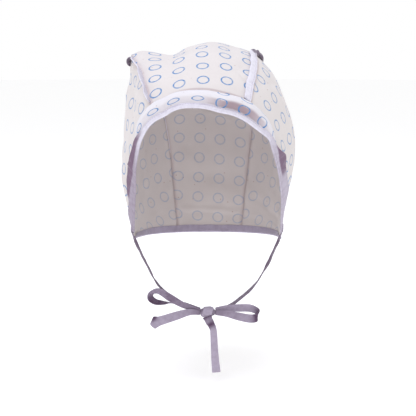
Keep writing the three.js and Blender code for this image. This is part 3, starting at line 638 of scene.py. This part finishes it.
def sewing_thread(name, colour):
    """Spun sewing thread: its slight twist is painted as bands of two tones, a painted highlight where it
    catches the light.
    """
    material, tree, shader = new_material(name, 0.6, 0.2, 0.4)
    cut = add(tree, "UVMap", {"uv_map": "cut"}).outputs[0]
    twist = add(tree, "TexWave", {"bands_direction": "DIAGONAL"}, {
        "Vector": cut, "Scale": 900.0, "Distortion": 1.0})
    tone = add(tree, "Mix", {"data_type": "RGBA"}, {"Factor": twist.outputs["Fac"], "A": linear(colour[0]),
                                                   "B": linear(colour[1])})
    tree.links.new(tone.outputs["Result"], shader.inputs["Base Color"])
    return material


def stitches(name, points, out, material, pitch=2.6, radius=0.27):
    """A row of stitches along a path over cloth: a tube of that radius at the middle of each stitch,
    which dips into the cloth where the needle went through. radius' = radius * |sin(pi * length /
    pitch)|^0.5."""
    length = np.concatenate([[0], np.linalg.norm(np.diff(points, axis=0), axis=1).cumsum()])
    at = np.linspace(0, length[-1], int(length[-1] / pitch) * 6 + 1)
    path = np.stack([np.interp(at, length, points[:, k]) for k in range(3)], axis=-1)
    up = unit(np.stack([np.interp(at, length, out[:, k]) for k in range(3)], axis=-1))
    aside = unit(np.cross(np.gradient(path, axis=0), up))
    full = np.abs(np.sin(np.pi * at / pitch))[:, None] ** 0.5
    turn = np.linspace(0, 2 * np.pi, 7)[None, :-1]
    tube = (path[:, None] + aside[:, None] * (radius * full * np.cos(turn))[..., None]
            + up[:, None] * (radius * full * np.sin(turn) + 0.35 * (full - 1))[..., None])
    size = tube.shape[:2]
    cut = np.stack([np.broadcast_to(turn * radius, size), np.broadcast_to(at[:, None], size)], axis=-1)
    row = make_piece(name, tube, cut, material, around=True)
    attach(row, "root")


EDGE_ROOM = 0.5  # the tape's nose stands this far in front of the cloth's edge


def fold_profile(outer, inner, top, low):
    """The section of a tape folded over an edge: how deep each of its points lies on the cloth, negative
    in front of the edge, and its height off the cloth. The outer leg is at top and the inner one at low;
    both have rounded ends and run into a half-round nose."""
    leg, nose, end = np.linspace(1, 0, 12), np.linspace(0, np.pi, 11)[1:-1], np.linspace(0, np.pi, 7)[1:-1]
    middle, reach = (top + low) / 2, (top - low) / 2
    bow = 0.35 * np.sin(np.pi * leg)
    rows = [
        (outer * leg, top + TAPE + bow),
        (-(EDGE_ROOM + TAPE) * np.sin(nose), middle + (reach + TAPE) * np.cos(nose)),
        (inner * leg[::-1], low - TAPE + 0 * leg),
        (inner + 0.5 * TAPE * np.sin(end), low - TAPE / 2 * (1 + np.cos(end))),
        (inner * leg, low + 0 * leg),
        (-EDGE_ROOM * np.sin(nose[::-1]), middle + reach * np.cos(nose[::-1])),
        (outer * leg[::-1], top + bow[::-1]),
        (outer + 0.5 * TAPE * np.sin(end), top + TAPE / 2 * (1 - np.cos(end))),
    ]
    deep = np.concatenate([deep + 0 * high for deep, high in rows], axis=-1)
    high = np.concatenate([high + 0 * deep for deep, high in rows], axis=-1)
    return deep, high


def ends_along(fan, stop):
    """Lengths along an edge from the middle line to where its tape ends on each side."""
    _, _, known, _ = arch(np.array([float(fan)]))
    return known[0, 0] + CORNER_STOP + stop, known[0, -1] - CORNER_STOP - stop


def folded_tape(name, fan, into, along, outer, inner, top, stand, material, shade):
    """Tape folded over the edge at a fan: its section swept through the stations along the edge. The
    outer leg stands off the cloth by stand at its end, in proportion to how deep a point lies."""
    low = np.full((len(along), 1), -COTTON - 0.2)
    deep, high = fold_profile(outer[:, None], inner[:, None], top[:, None], low)
    grid = np.broadcast_to(along[:, None], deep.shape)
    point, back, _, out = over(away(fan, along, np.maximum(deep, 0), into), grid)
    lifted = stand[:, None] * (np.maximum(deep, 0) / outer[:, None]) ** 1.2 * (high > 0)
    uneven = TAPE_WAVE["high"] * ripple(grid, deep, TAPE_WAVE["size"], 21)
    uneven = uneven + lifted * (1 + FLAP_WAVE["share"] * ripple(grid, deep, FLAP_WAVE["size"], 22))
    points = point + back * (into * np.minimum(deep, 0))[..., None] + out * (high + uneven)[..., None]
    round_it = np.broadcast_to(np.linspace(0, TAPE_ROUND, deep.shape[1])[None, :], deep.shape)
    return make_piece(name, points, np.stack([round_it, grid], axis=-1), material, around=True,
                      shade=shade(grid, deep, high))


low_end, high_end = ends_along(FACE, FACE_STOP)
along = np.linspace(low_end, high_end, 320)
_, r_edge, known, _ = arch(np.array([float(FACE)]))
room = 0.5 * np.abs(np.interp(along, known[0], r_edge[0]))
at_side = ease(np.abs(along), FACE_TAPE["side_from"], FACE_TAPE["side_to"])
outer = np.minimum(FACE_TAPE["outer"] + (FACE_TAPE["outer_side"] - FACE_TAPE["outer"]) * at_side, room)
inner = np.minimum(np.full_like(along, FACE_TAPE["inner"]), room)
on_band = ease(np.minimum(along - BAND["left"], BAND["right"] - along), -7, -1)
top = EASE + on_band * (EASE + CUFF)


# How far the outer leg stands off beside the face, where the ties pull on the edge: length along it, height.
FLAP = np.array([
    (-235, 0), (-192, 0), (-172, 3), (-140, 3.5), (-112, 4.5), (-85, 4.5), (-68, 2), (-56, 0), (70, 0),
    (86, 1), (97, 2.5), (107, 6), (116, 5.5), (128, 3), (157, 3), (172, 1), (185, 0), (235, 0),
])


# Painted shade on the edge tape. Its dark stretches are lengths along the edge: start, full, fading, gone.
DARK_LEFT, DARK_RIGHT = (58, 72, 128, 154), (92, 102, 126, 136)
# The strip beside the nose that stays lit, as a share of the leg, gets broader down the left side.
LIT = {"left": 0.6, "from": 95, "to": 145, "right": 0.2, "soft": 0.15}
FACE_PAINTED_SHADE = {"all": 0.05, "dark": 0.8, "left": 0.62, "right": 0.45, "from": 62, "to": 110}


def face_shade(grid, deep, high):
    """Painted light and shade on the edge tape: pale over the forehead. Beside the face the leg outside is
    painted dark for a stretch and the nose is in painted half shade; below that the tape is an even
    lavender. grid is the length along the edge from the middle line."""
    share = np.maximum(deep, 0) / FACE_TAPE["outer_side"] * (high > 0)
    lit = LIT["left"] * ease(-grid, LIT["from"], LIT["to"])
    left = stretch(-grid, *DARK_LEFT) * ease(share, lit, lit + LIT["soft"])
    right = stretch(grid, *DARK_RIGHT) * ease(share, LIT["right"], LIT["right"] + LIT["soft"])
    low = np.where(grid < 0, FACE_PAINTED_SHADE["left"], FACE_PAINTED_SHADE["right"])
    low = ease(np.abs(grid), FACE_PAINTED_SHADE["from"], FACE_PAINTED_SHADE["to"]) * low
    return np.clip(FACE_PAINTED_SHADE["all"] + FACE_PAINTED_SHADE["dark"] * (left + right) + low, 0, 1)


# The edge tape's lit colour is paler than the ties' lavender of the same tape: painted light.
tape_face = bias_tape("bias_tape_edge", "#e2dfec", "#7d687c")
flap = read(FLAP, along)[:, 1]
binding = folded_tape("front_edge_binding_tape", FACE, 1, along, outer, inner, top, flap, tape_face,
                      face_shade)
settle(binding, "front_edge_binding")
thread = sewing_thread("sewing_thread", ("#b9aec4", "#d8d0df"))
STITCH_IN, STITCH_DEEP = 1.2, 3.2  # the stitching keeps inside the leg's end, and near the edge
stitch_at = np.minimum(outer - STITCH_IN, STITCH_DEEP)[:, None]
point, _, _, out = over(away(FACE, along, stitch_at, 1), along[:, None])
line = point[:, 0] + out[:, 0] * (top + TAPE + 0.3)[:, None]
stitches("front_edge_stitches", line, out[:, 0], thread)

# -----------------------------------------------------------------------------
# Neck edge binding. The same lavender tape folded over the cap's lower edge, from corner to corner round
# the nape, and sewn through near its upper edge.
low_end, high_end = ends_along(NAPE, NECK_STOP)
along = np.linspace(low_end, high_end, 240)
_, r_edge, known, _ = arch(np.array([float(NAPE)]))
room = 0.5 * np.abs(np.interp(along, known[0], r_edge[0]))
NECK_TAPE = {"leg": 7.5, "stitch_in": 1.4, "stitch_deep": 6.0}
leg = np.minimum(NECK_TAPE["leg"], room)
top = np.full_like(along, EASE)
# The neck tape's lit colour is paler than the ties' lavender of the same tape, painted light; its inner leg,
# under the cloth, gets painted shade.
neck_binding = folded_tape("neck_edge_binding_tape", NAPE, -1, along, leg, leg, top, 0 * top,
                           bias_tape("bias_tape_neck", "#cdc6d8", "#7f6e8b"),
                           lambda grid, deep, high: 0.10 + 0.35 * (high < 0) + 0 * grid)
settle(neck_binding, "neck_edge_binding")
stitch_at = np.minimum(leg - NECK_TAPE["stitch_in"], NECK_TAPE["stitch_deep"])[:, None]
point, _, _, out = over(away(NAPE, along, stitch_at, -1), along[:, None])
line = point[:, 0] + out[:, 0] * (top + TAPE + 0.3)[:, None]
stitches("neck_edge_stitches", line, out[:, 0], thread)

# -----------------------------------------------------------------------------
# Seam bindings. Each seam's two raw edges are turned outwards and bound together in folded tape. On one
# side the bound seam stands up as a thin fin, on the other it is pressed flat, and both flop over at the
# crown like ears.

# lean: 0 lies flat on the centre panel, 90 stands up, 180 lies on the side panel, more hangs down over it.
left_seam = np.array([
    # fan, lean, width, how far the far edge hangs down and comes ahead, painted shade: on the ear's underside
    (68.5, 80, 7, 0, 0, 0), (84, 80, 7, 0, 0, 0), (91, 82, 6.5, 0, 0, 0), (94.6, 92, 4.2, 0, 0, 0.1),
    (95.8, 100, 3.8, 0, 1, 0.8), (97.3, 150, 7.8, 0, 4, 0.9), (98.4, 196, 11, 0, 5, 0.9),
    (99.4, 212, 7, 0, 3, 0.9), (100.6, 200, 6, 1, 1, 0.8), (104, 172, 7.5, 6, 0, 0.8),
    (111, 145, 7, 3, 0, 0.2), (126, 90, 7, 0, 0, 0), (150, 60, 7.5, 0, 0, 0), (180.5, 15, 8, 0, 0, 0),
])
right_seam = np.array([
    (68.5, 4, 8.5, 0, 0, 0), (86, 4, 8.5, 0, 0, 0), (95, 4, 9.2, 0, 0, 0), (96.6, 8, 9, 0, 0, 0.1),
    (97.4, 16, 8.2, 0, 1, 0.8), (98.4, 34, 6.4, 0, 1, 0.8), (99.2, 52, 4.2, 0, 1, 0.8),
    (100, 78, 5.8, 0, 1, 0.8), (100.9, 122, 5.4, 0, 2, 0.8), (102.2, 178, 10, 0, 2, 0.8),
    (104.5, 172, 9, 1, 0, 0.8), (109, 145, 8.5, 3, 0, 0.4), (114, 120, 8, 1, 0, 0.1),
    (126, 80, 7, 0, 0, 0), (150, 40, 7.5, 0, 0, 0), (180.5, 8, 8, 0, 0, 0),
])
CROWN_FAN, CROWN_SPREAD = 99, 5  # the stations are closest together over the crown, where the tape twists
BOUND = 1.6  # thickness of a bound seam
SWAY, EDGE_WAVE = (5, 12), (0.3, 11)  # degrees of its lean to and fro, its far edge's wave; size of the cells
STITCH_LINE, STITCH_PRESS = 2.2, 0.35  # the stitching's way from the seam, and how far it presses the tape


def flat_section(count, width, thick):
    """A flat tape's section: a stadium as far = width/2 * |cos q|^0.3 and up = thick/2 * |sin q|^0.7,
    signed."""
    q = np.linspace(0, 2 * np.pi, count + 1)[:-1]
    far = np.sign(np.cos(q)) * np.abs(np.cos(q)) ** 0.3
    up = np.sign(np.sin(q)) * np.abs(np.sin(q)) ** 0.7
    return width / 2 * far, thick / 2 * up


for side, sign, table in (("left", -1, left_seam), ("right", 1, right_seam)):
    steps = np.linspace(table[0, 0], table[-1, 0], 2000)
    crowd = (1 + 9 * np.exp(-(((steps - CROWN_FAN) / CROWN_SPREAD) ** 2))).cumsum()
    fan = np.interp(np.linspace(crowd[0], crowd[-1], 420), crowd, steps)
    _, _, _, form = arch(fan)
    point, back, across, out = place(fan, sign * form[f"seam_{side}"])
    point, back, across, out = point[:, 0], back[:, 0], across[:, 0], out[:, 0]
    _, lean, width, hang, ahead, dark = read(table, fan).T
    length = np.concatenate([[0], np.linalg.norm(np.diff(point, axis=0), axis=1).cumsum()])
    lean = np.radians(lean + SWAY[0] * ripple(length, 0 * length, SWAY[1], 31 + sign))[:, None]
    far, up = flat_section(36, width[:, None], BOUND)
    far = far + width[:, None] / 2
    run = -sign * across * np.cos(lean) + out * np.sin(lean)
    thick = sign * across * np.sin(lean) + out * np.cos(lean)
    foot = point + out * (EASE + BOUND / 2 * np.abs(np.cos(lean)))
    # The tape's far edge waves a little, and its two layers lie thinnest along the stitching.
    wave = EDGE_WAVE[0] * ripple(length[:, None], 0 * far, EDGE_WAVE[1], 41 + sign)
    wave = wave * (far / width[:, None]) ** 2
    hollow = 1 - STITCH_PRESS * np.exp(-(((far - STITCH_LINE) / 0.8) ** 2))
    points = foot[:, None] + run[:, None] * far[..., None] + thick[:, None] * (up * hollow + wave)[..., None]
    outward = far / width[:, None]
    points = points - back[:, None] * (ahead[:, None] * outward)[..., None]
    points[..., 2] -= hang[:, None] * outward**1.6
    # Painted shade on the underside of a standing fin and on the ear's far part; the seam tape's lit colour
    # is the palest of the tapes, painted light.
    standing = ease(np.degrees(lean), 30, 70)
    shade = np.maximum(0.05 + 0.25 * standing * (up < 0) + 0 * far, dark[:, None] * ease(outward, 0.1, 0.35))
    cut = np.stack([far, length[:, None] + 0 * far], axis=-1)
    tape = bias_tape(f"bias_tape_seam_{side}", "#ebe8f3", "#665369")
    fin = make_piece(f"seam_binding_{side}_tape", points, cut, tape, around=True, shade=shade)
    settle(fin, f"seam_binding_{side}")
    for face, layer in ((1, "upper"), (-1, "lower")):
        line = foot + run * STITCH_LINE + thick * face * (BOUND / 2 * (1 - STITCH_PRESS) + 0.12)
        stitches(f"seam_{side}_stitches_{layer}", line, thick * face, thread)

# -----------------------------------------------------------------------------
# Chin ties. The edge tape runs on from each lower corner as a flat tie, down and forward to the knot
# under the chin. They are modelled directly, as flat tape is: double tape, sewn along one edge.
# x, y, z: the middle of the tape; ax, ay, az: the way that its width points there; width; painted shade.
TIE_LEFT = np.array([
    (-78.4, -42.4, -196.0, 0.3, -1.0, 0.25, 7.0, 0.7), (-76.5, -44.5, -200.5, 0.4, -1.0, 0.3, 7.8, 1.0),
    (-72.0, -47.5, -209.5, 0.3, -1.0, 0.2, 8.5, 0.9), (-65.5, -49.5, -222.5, 0.35, -1.0, 0.2, 8.5, 1.0),
    (-52.0, -55.0, -245.0, 0.0, -1.0, 0.0, 8.5, 0.9), (-31.0, -57.5, -262.0, 0.1, -1.0, -0.3, 8.0, 0.8),
    (-10.5, -65.0, -272.0, 0.3, -1.0, -0.6, 6.0, 0.6),
])
TIE_RIGHT = np.array([
    (73.0, -42.4, -196.0, -0.3, -1.0, 0.25, 7.0, 0.7), (71.0, -44.5, -200.5, -0.4, -1.0, 0.3, 7.8, 1.0),
    (66.5, -47.5, -209.5, -0.3, -1.0, 0.2, 8.5, 0.9), (60.5, -49.5, -222.5, -0.35, -1.0, 0.2, 8.5, 1.0),
    (47.0, -55.0, -243.5, 0.0, -1.0, 0.0, 8.5, 0.75), (27.5, -57.5, -261.0, -0.1, -1.0, -0.3, 8.0, 0.7),
    (7.5, -65.0, -272.0, -0.3, -1.0, -0.6, 6.0, 0.6),
])
DOUBLE = 1.2  # thickness of the tape folded double
SEWN = {"at": 0.66, "spread": 0.12, "press": 0.4}  # its row of stitches, in half widths from its middle
STATION = 0.7  # distance between the stations along a tape
TWIST, CRIMP = (0.35, 11), (0.22, 5)  # its soft twist and its puckers: height, size of the cells


def strap(name, route, material, cup=0.0, hem=0.0, point=0.0, seed=1, underside=0.3):
    """Flat tape in the open air along a route: its stadium section swept along a cubic through the
    route's rows, cupped across its width, with a soft twist and puckers from its sewn edge. A hem is a
    double layer at the end, that many millimetres long. A point is how far the tape's middle runs on past
    its two corners at the end."""
    step = np.linalg.norm(np.diff(route[:, :3], axis=0), axis=1)
    key = np.concatenate([[0], step.cumsum()])
    at = np.linspace(0, key[-1], int(key[-1] / STATION))
    row = read(np.column_stack([key, route]), at)[:, 1:]
    tangent = unit(np.gradient(row[:, :3], axis=0))
    wide = row[:, 3:6] - tangent * (row[:, 3:6] * tangent).sum(axis=1, keepdims=True)
    wide = unit(wide)
    face = np.cross(tangent, wide)
    half = row[:, [6]] / 2
    far, up = flat_section(40, 2 * half, DOUBLE)
    t = far / half
    sewn = 1 - SEWN["press"] * np.exp(-(((t - SEWN["at"]) / SEWN["spread"]) ** 2))
    thicker = 1 + 0.9 * ease(at[:, None], key[-1] - hem, key[-1] - hem + 0.5) if hem else 1.0
    cut_end = np.sqrt(np.clip(np.minimum(at, key[-1] - at) / 0.8, 0.01, 1))  # rounded
    thicker = thicker * cut_end[:, None]
    bend = cup * (1 - t**2) + TWIST[0] * ripple(at[:, None], 0 * t, TWIST[1], seed) * t
    bend = bend + CRIMP[0] * ripple(at[:, None], 3 * t, CRIMP[1], seed + 1)
    high = up * sewn * thicker + bend
    points = row[:, None, :3] + wide[:, None] * far[..., None] + face[:, None] * high[..., None]
    at_end = ease(at[:, None], key[-1] - 2.5 * point, key[-1]) if point else 0.0
    points = points - tangent[:, None] * (point * at_end * np.abs(t + 0.15))[..., None]
    # Painted shade darkens the upper corner of a pointed end, as of a corner turned over; the tape's
    # underside gets painted shade too.
    turned_over = at_end * ease(t, 0.35, 0.6) if point else 0.0
    shade = np.clip(row[:, [7]] + underside * (up < 0) + 0.8 * turned_over + 0 * t, 0, 1)
    cut = np.stack([far, at[:, None] + 0 * far], axis=-1)
    return make_piece(name, points, cut, material, around=True, shade=shade)


# The ties' lit colour is the tape's own lavender; the dark colour is for painted shade.
tie_tape = bias_tape("bias_tape_ties", "#bdb3c6", "#57405a")
# A tie's end lies on the corner, over the end of the edge binding, and is sewn to it. Two rows of its route
# there: fan, length from the corner and height over the cloth; then the way of its width, its width and
# its shade.
SEWN_FAN, SEWN_FROM_CORNER, SEWN_HIGH = np.array([[[80.0], [77.0]], [[15.0], [8.0]], [[2.0], [1.6]]])
SEWN_ROWS = np.array([(0.0, -1.0, 0.1, 7.0, 0.4), (0.0, -1.0, 0.1, 7.0, 0.45)])
_, _, known, _ = arch(SEWN_FAN[:, 0])
for side, route, along in (("left", TIE_LEFT, known[:, :1] + SEWN_FROM_CORNER),
                           ("right", TIE_RIGHT, known[:, -1:] - SEWN_FROM_CORNER)):
    point, _, _, out = (part[:, 0] for part in over(SEWN_FAN, along))
    route = np.vstack([np.hstack([point + out * SEWN_HIGH, SEWN_ROWS]), route])
    tie = strap(f"chin_tie_{side}_tape", route, tie_tape, seed=50, underside=0.0)
    settle(tie, f"chin_tie_{side}")

# -----------------------------------------------------------------------------
# Bow. Two loops, the two loose ends of the tape and the knot that holds them, all of the same flat tape. The
# centre end has a narrow sewn hem. The tape is stiff enough that the loops stand open.
LOOP_LEFT = np.array([
    (-9.5, -73.5, -266.8, 0.2, -0.5, 1.0, 4.5, 0.45), (-25.0, -76.5, -260.8, 0.5, -0.4, 1.0, 7.0, 0.35),
    (-40.0, -78.0, -252.0, 0.6, -0.4, 1.0, 8.0, 0.45), (-51.0, -77.5, -245.5, 0.3, -0.6, 1.0, 8.0, 0.3),
    (-58.5, -74.5, -248.0, -0.7, -0.9, 0.5, 8.0, 0.4), (-60.0, -70.5, -254.0, -0.7, -1.0, -0.2, 8.0, 0.6),
    (-55.0, -67.5, -258.8, -0.2, -1.0, -0.5, 8.0, 0.6), (-46.0, -67.0, -260.0, 0.1, -1.0, -0.2, 8.0, 0.6),
    (-35.0, -67.5, -259.8, 0.1, -1.0, 0.5, 7.5, 0.6), (-22.0, -68.5, -262.0, 0.3, -0.8, 0.8, 6.0, 0.6),
    (-9.5, -69.5, -266.2, 0.3, -0.6, 0.8, 4.5, 0.6),
])
TAIL_LEFT = np.array([
    (-9.5, -74.5, -268.6, 0.2, 0.3, 1.0, 4.5, 0.4), (-20.0, -78.0, -267.0, 0.25, 0.3, 1.0, 6.5, 0.15),
    (-33.0, -77.5, -270.8, 0.3, 0.3, 1.0, 8.5, 0.05), (-45.5, -77.5, -274.8, 0.35, 0.2, 1.0, 9.0, 0.0),
    (-53.5, -77.2, -277.4, 0.38, 0.25, 1.0, 9.8, 0.0), (-61.5, -76.5, -280.2, 0.42, 0.3, 1.0, 12.5, 0.05),
])
LOOP_RIGHT = np.array([
    (6.0, -69.8, -266.4, 0.0, -0.4, 1.0, 4.5, 0.45), (18.0, -69.0, -265.4, -0.2, -0.3, 1.0, 7.5, 0.4),
    (31.5, -68.0, -265.2, 0.0, -0.3, 1.0, 8.5, 0.3), (43.0, -68.0, -265.8, 0.1, -0.3, 1.0, 8.5, 0.3),
    (49.5, -71.5, -268.8, 0.3, -0.4, 1.0, 8.5, 0.9), (48.0, -77.5, -272.8, 0.2, 0.2, 1.0, 8.5, 0.9),
    (41.5, -79.5, -273.4, 0.1, 0.2, 1.0, 8.5, 0.15), (28.5, -78.5, -271.2, 0.1, 0.2, 1.0, 8.0, 0.15),
    (17.5, -76.0, -269.2, 0.1, 0.3, 1.0, 6.5, 0.2), (6.0, -74.2, -268.8, 0.0, 0.4, 1.0, 4.5, 0.4),
])
TAIL_CENTRE = np.array([
    (-2.4, -77.6, -271.8, 1.0, 0.1, 0.0, 10.0, 1.0), (-0.6, -79.4, -275.4, 1.0, 0.3, -0.3, 9.0, 0.5),
    (1.6, -79.6, -279.4, 1.0, -0.2, 0.0, 7.6, 1.0), (3.6, -79.0, -284.0, 1.0, 0.2, 0.3, 7.0, 0.35),
    (4.4, -78.0, -291.0, 1.0, 0.1, 0.0, 7.0, 0.25), (5.0, -77.0, -304.0, 1.0, -0.1, 0.0, 7.3, 0.25),
    (5.8, -76.5, -317.0, 1.0, 0.1, 0.0, 8.0, 0.2), (7.1, -76.0, -331.0, 1.0, 0.0, 0.1, 8.8, 0.2),
])
for name, route, hem, point, seed in (
        ("bow_loop_left", LOOP_LEFT, 0, 0, 61), ("tie_tail_left", TAIL_LEFT, 0, 5.5, 63),
        ("bow_loop_right", LOOP_RIGHT, 0, 0, 65), ("tie_tail_centre", TAIL_CENTRE, 5.5, 0, 67)):
    piece = strap(f"{name}_tape", route, tie_tape, cup=0.3, hem=hem, point=point, seed=seed)
    settle(piece, name)

KNOT = {"x": -2.0, "y": -71.5, "z": -268.6, "wide": 8.4, "deep": 5.6, "high": 5.8}
WRAP = {"slant": 0.22, "off": 0.05, "half": 0.56, "edge": 0.07}  # in half widths of the knot
lat, turn = np.linspace(-1.54, 1.54, 60)[:, None], np.linspace(0, 2 * np.pi, 97)[None, :-1]
# The knot's axis is X, where the loops come out; one turn of tape wraps its middle on a slant.
axial, ring = np.sin(lat) + 0 * turn, np.cos(lat)
slant = axial - WRAP["slant"] * np.sin(turn) + WRAP["off"]
wrap = ease(WRAP["half"] - np.abs(slant), 0, WRAP["edge"])
pleat = 0.07 * np.cos(7 * turn + 2 * axial) * (1 - wrap) + 0.03 * np.cos(3 * turn + 5 * axial) * wrap
size = 0.66 + 0.34 * wrap * (0.94 + 0.06 * np.cos(9 * slant)) + pleat


def squared(value):
    """The value's size to the power 0.8, with its sign: it squares the knot off a little."""
    return np.sign(value) * np.abs(value) ** 0.8


knot_points = np.stack([
    KNOT["x"] + KNOT["wide"] * squared(axial), KNOT["y"] + KNOT["deep"] * squared(ring * np.cos(turn)) * size,
    KNOT["z"] + KNOT["high"] * squared(ring * np.sin(turn)) * size], axis=-1)
knot_cut = np.stack([8 * axial, 6 * turn + 0 * axial], axis=-1)
# Painted shade on the knot: darker beside its wrapping turn and on its lower side.
knot = make_piece("bow_knot_tape", knot_points, knot_cut, tie_tape, around=True,
                  shade=0.25 + 0.35 * (1 - wrap) + 0.2 * ease(-np.sin(turn), 0.2, 0.9))
settle(knot, "bow_knot")

# -----------------------------------------------------------------------------
# Floor and light. A white paper floor, a large soft light above, a softer one in front, and white
# surroundings.
FLOOR = -0.342


def disc(radius):
    """A flat round floor: rings at radius * k / 6 around the origin, all at the floor's height. The
    innermost ring is no more than a point."""
    turn, ring = np.linspace(0, 2 * np.pi, 49)[None], np.linspace(1e-6, 1, 7)[:, None] * radius
    return np.stack([ring * np.cos(turn), ring * np.sin(turn), FLOOR + 0 * ring * turn], axis=-1) / MM


paper = bpy.data.materials.new("studio_paper")
paper.use_nodes = True
tree = paper.node_tree
shader = tree.nodes["Principled BSDF"]
shader.inputs["Roughness"].default_value = 0.9
grain = add(tree, "TexNoise", None, {"Vector": add(tree, "TexCoord").outputs["Object"], "Scale": 60.0})
tone = add(tree, "Mix", {"data_type": "RGBA"}, {"Factor": grain.outputs[0], "A": linear("#fbfbfc"),
                                               "B": linear("#fdfdfd")})
tree.links.new(tone.outputs["Result"], shader.inputs["Base Color"])
tree.links.new(tone.outputs["Result"], shader.inputs["Emission Color"])
shader.inputs["Emission Strength"].default_value = 0.3  # the paper is lit from below as well
sheet = disc(8.0)[::-1]
floor = make_piece("studio_floor", sheet, sheet[..., :2], paper)


def area_light(name, place, target, size, power, colour):
    """A square soft light that faces a target."""
    data = bpy.data.lights.new(name, "AREA")
    data.shape, data.size, data.energy, data.color = "SQUARE", size, power, linear(colour)[:3]
    lamp = bpy.data.objects.new(name, data)
    lamp.location = place
    way = np.array(target) - np.array(place)
    lamp.rotation_euler = (float(np.arctan2(np.hypot(way[0], way[1]), -way[2])), 0,
                           float(np.arctan2(way[1], way[0]) - np.pi / 2))
    bpy.context.scene.collection.objects.link(lamp)


area_light("soft_light_above", (-0.2, -0.15, 1.3), (0, 0, -0.1), 1.2, 11, "#e9eeff")
area_light("soft_light_front", (-0.1, -1.9, 0.6), (0, 0, -0.15), 1.6, 5, "#fffaf6")
world = bpy.data.worlds.new("studio")
world.use_nodes = True
world.node_tree.nodes["Background"].inputs["Color"].default_value = (1, 1, 1, 1)
# The surroundings show as plain white, and light the cap a little less brightly than that.
seen = add(world.node_tree, "LightPath").outputs["Is Camera Ray"]
strength = add(world.node_tree, "MapRange", None, {"Value": seen, "To Min": 0.70, "To Max": 1.0}).outputs[0]
world.node_tree.links.new(strength, world.node_tree.nodes["Background"].inputs["Strength"])
bpy.context.scene.world = world
bpy.context.scene.view_settings.view_transform = "Standard"
